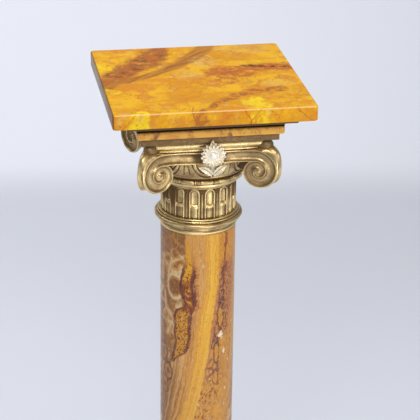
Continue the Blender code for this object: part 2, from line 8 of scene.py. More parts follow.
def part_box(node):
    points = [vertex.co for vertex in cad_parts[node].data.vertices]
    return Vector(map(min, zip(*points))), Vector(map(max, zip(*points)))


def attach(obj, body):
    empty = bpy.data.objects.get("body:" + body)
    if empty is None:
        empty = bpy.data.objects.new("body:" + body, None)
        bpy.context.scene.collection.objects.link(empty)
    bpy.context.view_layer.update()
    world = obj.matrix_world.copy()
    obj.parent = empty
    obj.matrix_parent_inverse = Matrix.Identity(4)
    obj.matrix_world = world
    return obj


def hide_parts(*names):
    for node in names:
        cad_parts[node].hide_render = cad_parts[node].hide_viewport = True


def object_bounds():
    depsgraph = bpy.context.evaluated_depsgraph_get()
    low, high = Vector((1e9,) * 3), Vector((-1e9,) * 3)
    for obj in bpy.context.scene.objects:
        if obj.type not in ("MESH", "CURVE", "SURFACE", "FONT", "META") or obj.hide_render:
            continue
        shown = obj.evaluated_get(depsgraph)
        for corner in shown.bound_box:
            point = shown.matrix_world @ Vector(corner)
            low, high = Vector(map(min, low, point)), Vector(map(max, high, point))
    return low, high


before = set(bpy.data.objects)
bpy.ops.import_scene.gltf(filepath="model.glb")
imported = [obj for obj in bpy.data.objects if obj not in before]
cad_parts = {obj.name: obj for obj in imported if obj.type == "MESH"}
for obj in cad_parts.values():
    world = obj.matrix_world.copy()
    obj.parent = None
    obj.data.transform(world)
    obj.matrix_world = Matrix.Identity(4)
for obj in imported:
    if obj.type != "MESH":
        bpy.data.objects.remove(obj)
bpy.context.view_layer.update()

# The plinth and the step on it are two squared blocks of orange marble, sawn, rubbed and polished, with
# their arrises just taken off. They stand loose on the floor under the column's foot, so they are kept
# plain: clouds of a darker orange and a few brown veins.
marble_corner = 0.005
marble_arris = 0.0018
plinth_amber = (0.58, 0.25, 0.045)
plinth_pale = (0.68, 0.36, 0.085)
plinth_brown = (0.2, 0.07, 0.028)


class Shade:
    """A socket in a material. Arithmetic on it adds Math nodes, so a finish reads as plain sums."""

    def __init__(self, tree, socket):
        self.tree = tree
        self.socket = socket

    def node(self, kind, settings, sockets, output=0):
        """Adds a node: its settings first, then the values or links of its sockets."""
        made = self.tree.nodes.new("ShaderNode" + kind)
        for name, value in settings.items():
            if name == "route":
                curve = made.mapping.curves[0]
                while len(curve.points) < len(value):
                    curve.points.new(0.5, 0.5)
                for point, place in zip(curve.points, value):
                    point.location = place
                made.mapping.update()
            else:
                setattr(made, name, value)
        for name, value in sockets.items():
            feed(made.inputs[name], value)
        return Shade(self.tree, made.outputs[output])

    def sum(self, operation, *values):
        return self.node("Math", {"operation": operation}, dict(enumerate(values)))

    def __add__(self, other):
        return self.sum("ADD", self, other)

    def __radd__(self, other):
        return self.sum("ADD", other, self)

    def __sub__(self, other):
        return self.sum("SUBTRACT", self, other)

    def __rsub__(self, other):
        return self.sum("SUBTRACT", other, self)

    def __mul__(self, other):
        return self.sum("MULTIPLY", self, other)

    def __rmul__(self, other):
        return self.sum("MULTIPLY", other, self)

    def __truediv__(self, other):
        return self.sum("DIVIDE", self, other)

    def __abs__(self):
        return self.sum("ABSOLUTE", self)

    def either(self, *others):
        made = self
        for other in others:
            made = self.sum("MAXIMUM", made, other)
        return made

    def rise(self, low, high):
        """Nothing up to low, full from high, and smooth between. A high below low falls instead."""
        ends = {"Value": self, "From Min": min(low, high), "From Max": max(low, high)}
        risen = self.node("MapRange", {"interpolation_type": "SMOOTHSTEP", "clamp": True}, ends)
        return risen if high > low else 1 - risen

    def tint(self, below, above):
        """One colour where this mask is empty, the other where it is full."""
        return self.node("Mix", {"data_type": "RGBA"}, {0: self, 6: below, 7: above}, 2)

    def clouds(self, scale, detail=4.0, rough=0.55, skew=0.0):
        """Soft noise through this place, from 0 to 1."""
        sockets = {"Vector": self, "Scale": scale, "Detail": detail, "Roughness": rough, "Distortion": skew}
        return self.node("TexNoise", {}, sockets)

    def moved(self, operation, other):
        return self.node("VectorMath", {"operation": operation}, {0: self, 1: other})

    def stirred(self, scale, reach, detail=3.0):
        """This place pushed about by noise, as far as reach in metres."""
        push = self.node("TexNoise", {}, {"Vector": self, "Scale": scale, "Detail": detail}, 1)
        return self.moved("ADD", push.moved("SUBTRACT", (0.5,) * 3).moved("MULTIPLY", (2 * reach,) * 3))

    def stretched(self, x, y, z):
        """This place with each axis scaled."""
        return self.moved("MULTIPLY", (x, y, z))

    def axes(self):
        """The three numbers of this place."""
        split = self.node("SeparateXYZ", {}, {0: self})
        return [Shade(self.tree, out) for out in split.socket.node.outputs]


def feed(socket, value):
    """Gives a socket its link or its value."""
    if isinstance(value, Shade):
        value.tree.links.new(value.socket, socket)
    elif socket.type == "RGBA":
        socket.default_value = (*value, 1)
    else:
        socket.default_value = value


def finish(name):
    """A new material, its shader, and the place on the piece in metres."""
    material = bpy.data.materials.new(name)
    material.use_nodes = True
    tree = material.node_tree
    place = tree.nodes.new("ShaderNodeTexCoord")
    return material, tree.nodes["Principled BSDF"], Shade(tree, place.outputs["Object"])


def lay(shader, **sockets):
    """Gives the shader's sockets their values or links, with _ for a space in the name."""
    for name, value in sockets.items():
        feed(shader.inputs[name.replace("_", " ")], value)


def coats(colour, *laid):
    """The colour with (mask, colour) coats laid over it in turn."""
    for mask, coat in laid:
        colour = mask.tint(colour, coat)
    return colour


def raised(height, reach):
    """A normal for the shader from a height from 0 to 1 that stands reach metres proud."""
    return height.node("Bump", {}, {"Height": height, "Distance": reach, "Strength": 1.0})


def square_ring(half, corner, z, steps=8):
    """A square with rounded corners, centred on the column's axis."""
    ring = []
    middle = half - corner
    for quarter in range(4):
        turn = Matrix.Rotation(radians(90 * quarter), 3, "Z")
        for i in range(steps + 1):
            angle = radians(90 * i / steps)
            ring.append(turn @ Vector((middle + corner * cos(angle), middle + corner * sin(angle), z)))
    return ring


def loft(rings, hollow=None):
    """Points and faces of a skin through closed rings, bottom ring first, and how hollow each point lies."""
    points = [Vector(point) for ring in rings for point in ring]
    size = len(rings[0])
    faces = [tuple(reversed(range(size))), tuple(range(len(points) - size, len(points)))]
    for row in range(0, len(points) - size, size):
        for i in range(size):
            j = (i + 1) % size
            faces.append((row + i, row + j, row + size + j, row + size + i))
    return points, faces, hollow or [0.0] * len(points)


def joined(skins):
    """Several skins as one."""
    points, faces, hollow = [], [], []
    for some_points, some_faces, some_hollow in skins:
        faces += [tuple(len(points) + i for i in face) for face in some_faces]
        points += some_points
        hollow += some_hollow
    return points, faces, hollow


def placed(name, data):
    """An object of the scene."""
    made = bpy.data.objects.new(name, data)
    bpy.context.scene.collection.objects.link(made)
    return made


def piece(name, skins, material, slot, *nodes):
    """A piece of the column made of one or more skins, standing for the named solids."""
    points, faces, hollow = joined(skins)
    mesh = bpy.data.meshes.new(name)
    mesh.from_pydata(points, [], faces)
    mesh.attributes.new("hollow", "FLOAT", "POINT").data.foreach_set("value", hollow)
    skin = bmesh.new()
    skin.from_mesh(mesh)
    bmesh.ops.recalc_face_normals(skin, faces=skin.faces)
    skin.to_mesh(mesh)
    skin.free()
    mesh.shade_smooth()
    mesh.set_sharp_from_angle(angle=radians(42))
    mesh.materials.append(material)
    made = placed(name, mesh)
    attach(made, "root")
    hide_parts(*nodes)


def slab_skin(node, corner=marble_corner):
    """A polished slab in its solid's place, with round corners and softly rubbed arrises."""
    low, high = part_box(node)
    turns = [pi * i / 8 for i in range(5)]
    arris = [(2.2, 0)] + [(1 - sin(turn), 1 - cos(turn)) for turn in turns]
    rings = []
    for inwards, up in arris:
        rings.append(square_ring(high[0] - inwards * marble_arris, corner, low[2] + up * marble_arris))
    for inwards, down in reversed(arris):
        rings.append(square_ring(high[0] - inwards * marble_arris, corner, high[2] - down * marble_arris))
    return loft(rings)


foot_marble, shader, place = finish("foot_marble")
drift = place.stirred(14, 0.02)
cloud = drift.clouds(16, 6, 0.6).rise(0.38, 0.66)
vein = abs(drift.clouds(9, 5, 0.6) - 0.5).rise(0.03, 0.0) * place.clouds(22).rise(0.42, 0.6)
colour = coats(plinth_amber, (cloud, plinth_pale), (vein, plinth_brown))
lay(shader, Base_Color=colour, Roughness=0.14 + 0.1 * cloud, Normal=raised(place.clouds(260, 3), 0.00008))
lay(shader, Specular_IOR_Level=0.15)

piece("plinth_block", [slab_skin("plinth")], foot_marble, "foot_marble", "plinth")
piece("plinth_step_block", [slab_skin("plinth_step")], foot_marble, "foot_marble", "plinth_step")

# The foot is a turned bronze ring, gilt and long since rubbed: a large bead, a fillet, a hollow and a small
# bead, up to the plain band that the shaft stands in. It is finished like the mounts of the capital, which
# are pale greenish gold on the rims, tan on the broad faces and brown in the hollows, where dirt and
# painted shade are laid in together.
gold_rim = (0.97, 0.76, 0.37)
gold_tan = (0.8, 0.6, 0.275)
gold_warm = (0.38, 0.25, 0.125)
dirt_and_shade_brown = (0.15, 0.082, 0.03)


def round_ring(radius, z, steps=144):
    turns = [2 * pi * i / steps for i in range(steps)]
    return [(radius * cos(turn), radius * sin(turn), z) for turn in turns]


def moulding(profile, ring_at=round_ring):
    """A skin through a ring at each (reach, height, how hollow) of a profile, bottom first."""
    rings = [ring_at(reach, z) for reach, z, dirt_and_shade in profile]
    return loft(rings, [dirt_and_shade for reach, z, dirt_and_shade in profile for point in rings[0]])


def arc(centre, radius, start, end, dirt_and_shade_values):
    """Part of a profile that is round, in degrees from outwards, with a point for each value of
    dirt_and_shade_values.
    """
    made = []
    for i, dirt_and_shade in enumerate(dirt_and_shade_values):
        turn = radians(start + (end - start) * i / (len(dirt_and_shade_values) - 1))
        made.append((centre[0] + radius * cos(turn), centre[1] + radius * sin(turn), dirt_and_shade))
    return made


def from_corner(out, up, points):
    """Part of a profile, with its points measured from a corner."""
    return [(out + reach, up + rise, dirt_and_shade) for reach, rise, dirt_and_shade in points]


def gilt(name, rim, broad, warm, dirt_and_shade, shine=0.27, metal=0.95, specular=0.25):
    """Old gilding on cast bronze: warm patches, fine pits and rubbed high places. Hollow values and creases
    darken it brown, as dirt with painted shade, and negative hollow values give painted highlights in the rim
    colour. The right-hand scrolls are stained and the ones at the left of the back are grimy."""
    material, shader, place = finish(name)
    across, back, up = place.axes()
    hollow = place.node("Attribute", {"attribute_name": "hollow"}, {}, 2)
    sharp = place.node("NewGeometry", {}, {}, 7)
    patch = place.stirred(30, 0.012).clouds(30, 6, 0.65).rise(0.42, 0.62)
    speck = place.clouds(420, 4, 0.65)
    rubbed = sharp.rise(0.505, 0.56)
    # Painted shade with dirt: the hollow values and concave creases darken the gilt towards the dirt colour.
    sunk_dirt_and_shade = (hollow + 0.45 * (0.5 - sharp).rise(0.0, 0.06) + 0.35 * (speck - 0.5)).rise(0.25, 0.95)
    stained = across.rise(0.036, 0.066) * up.rise(0.968, 0.963) * 0.29
    stained = stained * (1 + place.clouds(24, 5).rise(0.38, 0.52))
    grimy = back.rise(0.02, 0.07) * across.rise(-0.05, -0.08) * (0.425 + 0.425 * speck.rise(0.4, 0.56))
    stained = stained.either(place.clouds(11, 3).rise(0.45, 0.62) * 0.35)
    # Painted highlight with wear: rubbed edges, and points with negative hollow values, take the rim colour.
    bright = (rubbed * 0.7 + 0.3 * speck.rise(0.5, 0.75)).either(hollow.rise(0.0, -0.5))
    skin = coats(broad, (patch, warm), (stained, warm), (grimy, dirt_and_shade), (bright, rim))
    lay(shader, Base_Color=sunk_dirt_and_shade.tint(skin, dirt_and_shade), Metallic=metal - 0.45 * sunk_dirt_and_shade, Specular_IOR_Level=specular)
    lay(shader, Roughness=shine + 0.22 * sunk_dirt_and_shade + 0.12 * patch + 0.1 * speck - 0.1 * rubbed)
    lay(shader, Normal=raised(0.6 * place.clouds(900, 2) + 0.4 * speck, 0.00006))
    return material


gilt_bronze = gilt("gilt_bronze", gold_rim, gold_tan, gold_warm, dirt_and_shade_brown)

low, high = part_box("foot_ring")
foot_bead = 0.0105
foot_small_bead = 0.0035
foot_band = 0.012
shaft_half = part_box("shaft")[1][0]
band_half = shaft_half + 0.0014
small_bead_out = shaft_half + 0.0095 - foot_small_bead
fillet = high[0] - foot_bead - 0.002
hollow_low = low[2] + 2 * foot_bead + 0.003
small_bead_z = high[2] - foot_band - foot_small_bead
profile = arc((high[0] - foot_bead, low[2] + foot_bead), foot_bead, -90, 90, [0.0] * 17)
profile += [(fillet, low[2] + 2 * foot_bead, 1.0), (fillet, hollow_low, 0.1)]
for i in range(1, 9):
    turn = radians(90 * i / 8)
    rise = (small_bead_z - foot_small_bead - hollow_low) * (1 - cos(turn))
    profile.append((fillet + (small_bead_out - fillet) * sin(turn), hollow_low + rise, 0.35))
profile += arc((small_bead_out, small_bead_z), foot_small_bead, -60, 90, [0.8] + [0.0] * 8)
profile += from_corner(band_half, high[2], [(0, -foot_band, 1.0), (0, -0.0008, 0.0), (-0.0008, 0, 0.0)])
piece("foot_moulding", [moulding(profile)], gilt_bronze, "gilt_bronze", "foot_ring")

# The shaft is one turned and polished drum of banded onyx marble. Its bands run nearly upright and lean to
# the left lower down. It has a wide yellow band near the front, a dark-rimmed pod of speckled yellow to the
# left of it, brown nodules in a cream web further left, and red-rimmed pods on the right.
onyx_tan = (0.52, 0.235, 0.07)
onyx_sand = (0.67, 0.335, 0.085)
onyx_orange = (0.66, 0.29, 0.045)
onyx_yellow = (0.86, 0.48, 0.05)
onyx_gold = (0.74, 0.335, 0.032)
onyx_cream = (0.72, 0.52, 0.28)
onyx_brown = (0.25, 0.1, 0.034)
onyx_umber = (0.15, 0.056, 0.02)
onyx_pale = (0.74, 0.44, 0.19)
onyx_pink = (0.5, 0.205, 0.08)
onyx_plum = (0.115, 0.03, 0.026)
onyx_red = (0.27, 0.048, 0.016)
onyx_white = (0.9, 0.78, 0.6)
pod_yellow = (0.76, 0.36, 0.022)
pod_ochre = (0.64, 0.29, 0.03)
pod_heart = (0.2, 0.036, 0.016)
pod_halo = (0.48, 0.11, 0.018)
rim_red = (0.2, 0.052, 0.03)
nodule_brown = (0.32, 0.13, 0.038)
great_brown = (0.27, 0.105, 0.028)
right_dark = (0.52, 0.225, 0.045)
right_light = (0.62, 0.285, 0.045)
right_top = (0.72, 0.3, 0.022)
wash_tan = (0.62, 0.34, 0.155)
onyx_start = 0.23
onyx_length = 0.7
turn_reach = 100
degree = pi * shaft_half / 180

onyx, shader, place = finish("shaft_onyx")
shaft_low, shaft_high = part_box("shaft")
column_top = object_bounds()[1][2]
wavy = place.stirred(70, 0.0035, 3)
wx, wy, wz = wavy.axes()
turn = wx.sum("ARCTAN2", wx, 0 - wy) * (180 / pi)
down = column_top - wz


def along(points):
    """A turn in degrees that changes down the shaft, from (metres below the top, degrees) points."""
    route = [((at - onyx_start) / onyx_length, value / (2 * turn_reach) + 0.5) for at, value in points]
    share = (down - onyx_start) / onyx_length
    return (share.node("FloatCurve", {"route": route}, {"Value": share}) - 0.5) * (2 * turn_reach)


def noise(scale, detail=3):
    """Clouds that push an edge about, from -0.5 to 0.5."""
    return wavy.clouds(scale, detail) - 0.5


def cells(where, scale, feature):
    """Rounded cells: F1 is the distance to their middles, DISTANCE_TO_EDGE to their borders."""
    return where.node("TexVoronoi", {"feature": feature}, {"Vector": where, "Scale": scale})


def round_spot(at_turn, at_down, wide, tall):
    """Distance from a spot on the shaft, 1 on its rim: wide in degrees, tall in metres."""
    aside, under = (turn - at_turn) / wide, (down - at_down) / tall
    square = aside * aside + under * under
    return square.sum("SQRT", square)


lean = along([(0.23, 0), (0.3, 1), (0.33, 0.5), (0.36, -3.5), (0.394, -9.5), (0.431, -13), (0.47, -18.5),
              (0.507, -25), (0.548, -34), (0.6, -45), (0.7, -44), (0.8, -20), (0.93, 10)])
band = turn - lean
strip = band.node("CombineXYZ", {}, {0: band * 0.16, 1: down * 5.0})
stripe = strip.clouds(1.6, 5, 0.7, 0.2)
fine = strip.stretched(3.4, 0.6, 1).clouds(1.6, 4, 0.7)
swept = strip.stretched(0.6, 0.5, 1).clouds(1.6, 4, 0.6)
speckle = wavy.stretched(1, 1, 0.8).clouds(330, 3, 0.6)
spotty = speckle - 0.5
flat = band.node("CombineXYZ", {}, {0: band * degree, 1: down * 0.6}).stirred(60, 0.0035, 3)

striped = coats(
    onyx_tan,
    (stripe.rise(0.34, 0.54), onyx_sand),
    ((band + 160 * (down - 0.4)).rise(-14, 0) * stripe.rise(0.34, 0.5), onyx_orange),
    (fine.rise(0.54, 0.62) * (0.45 + 0.4 * down.rise(0.34, 0.42)), onyx_cream),
    ((band + 12 * (stripe - 0.5)).rise(-6, -26) * down.rise(0.45, 0.51) * 0.65, onyx_brown),
    (fine.rise(0.45, 0.36) * 0.55, onyx_brown),
    (swept.rise(0.52, 0.57) * down.rise(0.34, 0.48) * 0.55, onyx_pale),
    (swept.rise(0.47, 0.42) * down.rise(0.3, 0.46) * 0.6, onyx_brown),
    (down.rise(0.3, 0.26) * 0.35, onyx_orange),
)
yellow = coats(
    onyx_gold,
    (fine.rise(0.38, 0.6), onyx_yellow),
    ((fine + 0.3 * stripe).rise(0.72, 0.6) * band.rise(15, 1) * 0.9, onyx_orange),
    (band.rise(9, 0) * 0.55, onyx_orange),
)

pod_left = along([(0.23, -27), (0.262, -27), (0.278, -26.5), (0.3, -31), (0.319, -35.5), (0.34, -33.5),
                  (0.358, -27.5), (0.366, -36), (0.374, -43.5), (0.4, -45.5), (0.431, -44), (0.455, -50),
                  (0.5, -60)])
pod_right = along([(0.23, -25), (0.247, -24), (0.277, -20.5), (0.299, -15), (0.316, -16.5), (0.356, -14.5),
                   (0.376, -20.5), (0.408, -21.8), (0.426, -23.5), (0.44, -27), (0.448, -33), (0.458, -46),
                   (0.5, -66)])
past_left = turn - pod_left
past_right = pod_right - turn
ragged = spotty * 3.0 + noise(120) * 5.0
inside = past_left.rise(-1.0, 0.5) * past_right.rise(-1.0, 0.5) * down.rise(0.236, 0.262)
inside = inside * down.rise(0.468, 0.461)
rimmed = down.rise(0.276, 0.302) * down.rise(0.47, 0.462)
rim_thick = down.rise(0.285, 0.31) * down.rise(0.385, 0.355) * 1.5 + 2.4
rim = (abs(past_right + ragged) / rim_thick).rise(1.2, 0.65)
rim = rim.either(abs(past_left + 0.8 + ragged).rise(3.3, 1.5)) * rimmed
halo = (abs(past_right + 3.0 + 1.6 * ragged) / (rim_thick * 1.5)).rise(1.2, 0.7) * down.rise(0.262, 0.29)
heart = down.rise(0.306, 0.328) * down.rise(0.376, 0.364) * 0.9
pores = cells(wavy.stretched(1, 1, 0.75), 320, "F1").rise(0.36, 0.26)
podded = coats(
    pod_yellow,
    (down.rise(0.335, 0.375), pod_ochre),
    (speckle.rise(0.53, 0.6) * down.rise(0.25, 0.29), onyx_red),
    (heart * wavy.clouds(150, 3).rise(0.38, 0.48), pod_heart),
    (pores * down.rise(0.36, 0.38) * 0.85, onyx_plum),
)

left_side = past_left.rise(-0.5, -4.0) * turn.rise(-172, -160)
left_side = left_side * (1 - down.rise(0.455, 0.49) * turn.rise(-86, -74))
behind = band.rise(78, 96) * turn.rise(180, 150)
left_side = left_side.either(behind, turn.rise(150, 170), turn.rise(-150, -170))
nodule_place = place.stirred(34, 0.012).stretched(1.0, 1.0, 0.8)
edge = cells(nodule_place, 50, "DISTANCE_TO_EDGE")
open_web = down.rise(0.262, 0.284) * place.clouds(26, 3).rise(0.46, 0.58)
webbed = coats(
    onyx_brown,
    ((cells(nodule_place, 50, "F1") + 0.35 * spotty).rise(0.12, 0.5), nodule_brown),
    (wavy.clouds(110, 5, 0.65).rise(0.5, 0.66) * 0.75, onyx_brown),
    (wavy.clouds(46, 5).rise(0.54, 0.64) * 0.6, onyx_orange),
    (abs(edge.sum("FRACT", edge * 14 + 0.6 * speckle) - 0.5).rise(0.3, 0.45) * 0.32, onyx_sand),
    ((edge / (0.06 + 0.2 * open_web)).rise(1.25, 0.85) * (0.1 + 0.65 * open_web), onyx_sand),
    ((edge / (0.03 + 0.11 * open_web)).rise(1.0, 0.5) * (0.2 + 0.7 * open_web), onyx_cream),
)
great = round_spot(-46.5, 0.33, 10.5, 0.015) + 0.4 * spotty
colour = coats(
    striped,
    (band.rise(-1.5, 3.0) * band.rise(23.4, 22.2), yellow),
    (left_side, webbed),
    (great.rise(1.7, 1.45) * (1 - inside), onyx_cream),
    (great.rise(1.3, 1.16) * (1 - inside), onyx_tan),
    (great.rise(1.05, 0.9) * (1 - inside), great_brown),
)
for at_turn, at_down, wide in ((-75.0, 0.455, 13), (-61.0, 0.486, 9), (-68.0, 0.512, 7)):
    loop = round_spot(at_turn, at_down, wide, 0.016) + 0.7 * spotty
    colour = coats(colour, (loop.rise(1.25, 1.05) * 0.85, onyx_plum), (loop.rise(0.9, 0.75), onyx_tan),
                   (loop.rise(0.55, 0.35) * 0.7, onyx_umber))

pinkish = down.rise(0.275, 0.3) * down.rise(0.43, 0.4) * band.rise(24, 30) * band.rise(64, 52)
beads = cells(flat, 84, "DISTANCE_TO_EDGE")
chain = down.rise(0.29, 0.32) * down.rise(0.505, 0.48) * (band + 40 * noise(30)).rise(46, 38)
chain = chain * (0.6 + 0.4 * speckle)
dots = down.rise(0.45, 0.5) * (band + 30 * (place.clouds(36, 3) - 0.5)).rise(62, 50)
dots = dots * cells(flat.stirred(160, 0.0012, 2), 250, "F1").rise(0.44, 0.34)
wander = place.clouds(60, 3) - 0.5
vein = abs(turn - 37.5 + 18 * wander).rise(3.6, 1.6) * down.rise(0.32, 0.29)
streak = abs(turn - 34 + 12 * wander).rise(3.6, 1.6) * down.rise(0.284, 0.3) * down.rise(0.372, 0.36)
right = coats(
    right_dark,
    (stripe.rise(0.4, 0.6), right_light),
    (wavy.clouds(120, 4).rise(0.46, 0.6) * 0.7, onyx_gold),
    (down.rise(0.34, 0.29) * 0.5, right_top),
    (pinkish * 0.8, onyx_pink),
    (pinkish * speckle.rise(0.5, 0.6), onyx_red),
    (beads.rise(0.22, 0.1) * chain, onyx_pink),
    (beads.rise(0.1, 0.045) * chain, onyx_plum),
    (dots * place.clouds(48, 3).rise(0.36, 0.48) * 0.9, onyx_red),
    (vein * 0.85, onyx_red),
    (streak * 0.75, onyx_plum),
)
for spot in ((29.1, 0.382, 4.8, 0.019), (22.4, 0.446, 4.2, 0.016), (21.0, 0.49, 4.0, 0.012)):
    lens = round_spot(*spot) + 0.9 * spotty + 0.8 * noise(120)
    right = coats(right, (lens.rise(1.45, 1.2) * 0.75, onyx_plum), (lens.rise(1.02, 0.86) * 0.9, onyx_orange))
fleck = place.clouds(95, 3) - 0.12 * down.rise(0.405, 0.415) * down.rise(0.46, 0.44)
fleck = fleck.rise(0.66, 0.69) * 0.7
white_spots = [(round_spot(*spot) + 3.0 * spotty).rise(1.0, 0.7)
               for spot in ((30.4, 0.416, 4.6, 0.0065), (37.0, 0.447, 2.6, 0.0055))]
right = fleck.either(*white_spots).tint(right, onyx_white)
seam = abs(band - 24.6 + 5 * noise(90)).rise(2.6, 1.0) * down.rise(0.3, 0.33) * down.rise(0.51, 0.48)

grain = place.clouds(760, 3, 0.6)
flaw = flat.stretched(1, 0.55, 1).clouds(330, 3, 0.65)
# Painted shade: the left side of the drum is darkened brown, more near the top.
left_edge_shade = turn.rise(-44, -72) * turn.rise(-120, -100) * (0.3 + 0.25 * down.rise(0.27, 0.24))
colour = coats(
    colour,
    (band.rise(22.6, 24.0) * (1 - left_side), right),
    (seam * 0.8, onyx_pink),
    (halo * down.rise(0.4, 0.36) * speckle.rise(0.4, 0.52) * 0.75, pod_halo),
    (inside, podded),
    (rim * 0.94, wavy.clouds(80, 3).rise(0.4, 0.6).tint(onyx_plum, rim_red)),
    (down.rise(0.38, 0.54) * turn.rise(-62, -30) * 0.18, wash_tan),
    (left_edge_shade, onyx_brown),
    (grain.rise(0.56, 0.68) * 0.3, onyx_cream),
    (grain.rise(0.46, 0.32) * 0.35, onyx_umber),
    (flaw.rise(0.58, 0.68) * 0.5, onyx_cream),
    (flaw.rise(0.42, 0.32) * 0.45, onyx_brown),
)
lay(shader, Base_Color=colour, Roughness=0.2 + 0.18 * stripe, Normal=raised(speckle, 0.00006))
lay(shader, Specular_IOR_Level=0.22, Coat_Weight=0.06, Coat_Roughness=0.06)

ends = 0.0008
shaft_tall = shaft_high[2] - shaft_low[2]
profile = [(shaft_half - ends, shaft_low[2], 0), (shaft_half, shaft_low[2] + ends, 0)]
profile += [(shaft_half, shaft_low[2] + shaft_tall * i / 12, 0) for i in range(1, 12)]
profile += [(shaft_half, shaft_high[2] - ends, 0), (shaft_half - ends, shaft_high[2], 0)]
piece("shaft_drum", [moulding(profile)], onyx, "shaft_onyx", "shaft")

# The collar is a turned bronze ring that caps the shaft: a hollow band with a round lip below, a dark
# quirk, a bead that stands out, and two thin fillets that step in to the foot of the neck. The crowns are
# rubbed bright, the quirks are brown with dirt and painted shade under the bead, and the lip has a painted
# highlight.
collar_low, collar_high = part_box("collar_ring")
collar_bead = 0.0036
bead_out = collar_high[0] - collar_bead
bead_z = collar_low[2] + 0.0176
band_out = shaft_half + 0.0014
foot = collar_low[2]
profile = from_corner(band_out, foot, [(-0.0012, 0, 0.6), (-0.0002, 0.0006, 0.2)])
# Painted highlight: the lip of the band takes the rim colour.
profile += arc((band_out - 0.0022, foot + 0.003), 0.0024, -50, 70, [-0.4] * 9)
profile += from_corner(band_out - 0.0018, foot, [(0, 0.0062, 0.35), (0, 0.007, 0.45), (0.0006, 0.0076, 0.3)])
profile += from_corner(band_out, bead_z - collar_bead, [(-0.0014, -0.0012, 0.4), (0.0004, -0.0003, 1.0)])
# Painted shade with dirt: the quirk and the underside of the bead are dark.
profile += arc((bead_out, bead_z), collar_bead, -82, 88, [1.0, 0.8, 0.5, 0.2, 0.1] + [0.0] * 11 + [0.3])
nose = [(-0.0004, -0.0026, 0.5), (0, -0.002, 0.1), (0, -0.0007, 0), (-0.0005, -0.0001, 0), (-0.0012, 0, 0.1)]
profile += from_corner(bead_out - 0.0006, collar_high[2] - 0.003, nose)
profile += from_corner(bead_out - 0.003, collar_high[2], nose)
piece("collar_moulding", [moulding(profile)], gilt_bronze, "gilt_bronze", "collar_ring")

# The neck is a cast bronze drum between collar and capital. Fifteen round-headed flutes are chased into it,
# each in a thin raised frame, and a cable fills the lower half of each; a fine ridge runs between the frames.
# Above the arches it flares out to a rim under the capital.
flutes = 15
flute_turn = 8.3
flute_half = 0.0061
flute_deep = 0.0046
frame_middle = 0.0073
frame_out = 0.0087
groove_out = 0.0112
cable_top = 0.0225
cable_deep = 0.0009
cable_slope = 0.0062
flare_reach = 0.0085
flare_tall = 0.0087
neck_low, neck_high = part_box("fluted_neck")
neck_tall = neck_high[2] - neck_low[2]
half_pitch = pi * shaft_half / flutes
spring = neck_tall - flare_tall - 0.0072


def between(value, low, high):
    """How far a value has come from low to high, eased at both ends."""
    share = min(1.0, max(0.0, (value - low) / (high - low)))
    return share * share * (3 - 2 * share)


def flute_cut(across, above):
    """How deep the drum is cut, and how hollow it lies, at a distance from a flute's middle line. A negative
    value paints a highlight on the slope up from the cable.
    """
    away = across if above < spring else hypot(across, above - spring)
    if away < flute_half:
        share = away / flute_half
        scoop = flute_deep * sqrt(1 - 0.72 * share * share)
        cable = cable_deep + 0.003 * (1 - sqrt(1 - 0.95 * share * share))
        end = min(1.0, max(0.0, (above - cable_top) / cable_slope + 1))
        open_part = 1 - sqrt(1 - end * end)
        depth = (cable + (scoop - cable) * open_part) * between(away, flute_half, flute_half - 0.0006)
        if end < 0.15:
            return depth, 0.44 + 0.3 * between(share, 0.7, 0.95)
        # Painted highlight: -0.6 on the slope up from the cable.
        return depth, -0.6 if end < 1.0 else 0.9 * between(share, 0.6, 1.0) - 0.05
    if away < frame_out:
        return 0.001 * ((away - frame_middle) / (frame_out - frame_middle)) ** 2, 0.15
    if away < groove_out:
        swell = sin(pi * (away - frame_out) / (groove_out - frame_out))
        return 0.001 + 0.0008 * swell ** 0.6, 0.52 + 0.1 * swell
    return (0.0004, 0.5) if above < spring else (0.0012, 0.7)


columns_per_flute = 48
levels = 84
rings, hollow = [], []
for level in range(levels + 1):
    above = neck_tall * level / levels
    flare = max(0.0, above - (neck_tall - flare_tall)) / flare_tall
    curl = 1 - sqrt(max(0.0, 1 - min(1.0, flare * 1.06) ** 2)) if flare < 0.94 else 1
    fade = 1 - between(flare, 0.0, 0.22)
    foot = 0.7 * (1 - between(above, 0.0, 0.002)) + (0.5 if 0.86 < flare < 0.93 else 0.0)
    ring = []
    for i in range(flutes * columns_per_flute):
        share = (i % columns_per_flute) / columns_per_flute * 2 - 1
        turn = radians(flute_turn - 90 + 360 / flutes * (i // columns_per_flute + share / 2))
        cut, dirt_and_shade = flute_cut(abs(share) * half_pitch, above)
        radius = shaft_half + flare_reach * curl - cut * fade
        ring.append((radius * cos(turn), radius * sin(turn), neck_low[2] + above))
        # Painted shade and light: the drum darkens at both sides, most on the left, and near the top under
        # the capital; its right half is lightened low down.
        aside = cos(turn)
        shaded = 0.65 * between(-aside, 0.45, 0.85) + 0.45 * between(aside, 0.6, 0.9)
        shaded *= between(above, 0.008, 0.03)
        shaded -= 0.4 * between(aside, 0.1, 0.6) * (1 - between(above, 0.016, 0.026))
        if dirt_and_shade > -0.3:
            shaded += 0.2 * between(above, 0.018, 0.04)
        hollow.append(dirt_and_shade * fade + foot + shaded)
    rings.append(ring)
piece("neck_drum", [loft(rings, hollow)], gilt_bronze, "gilt_bronze", "fluted_neck")

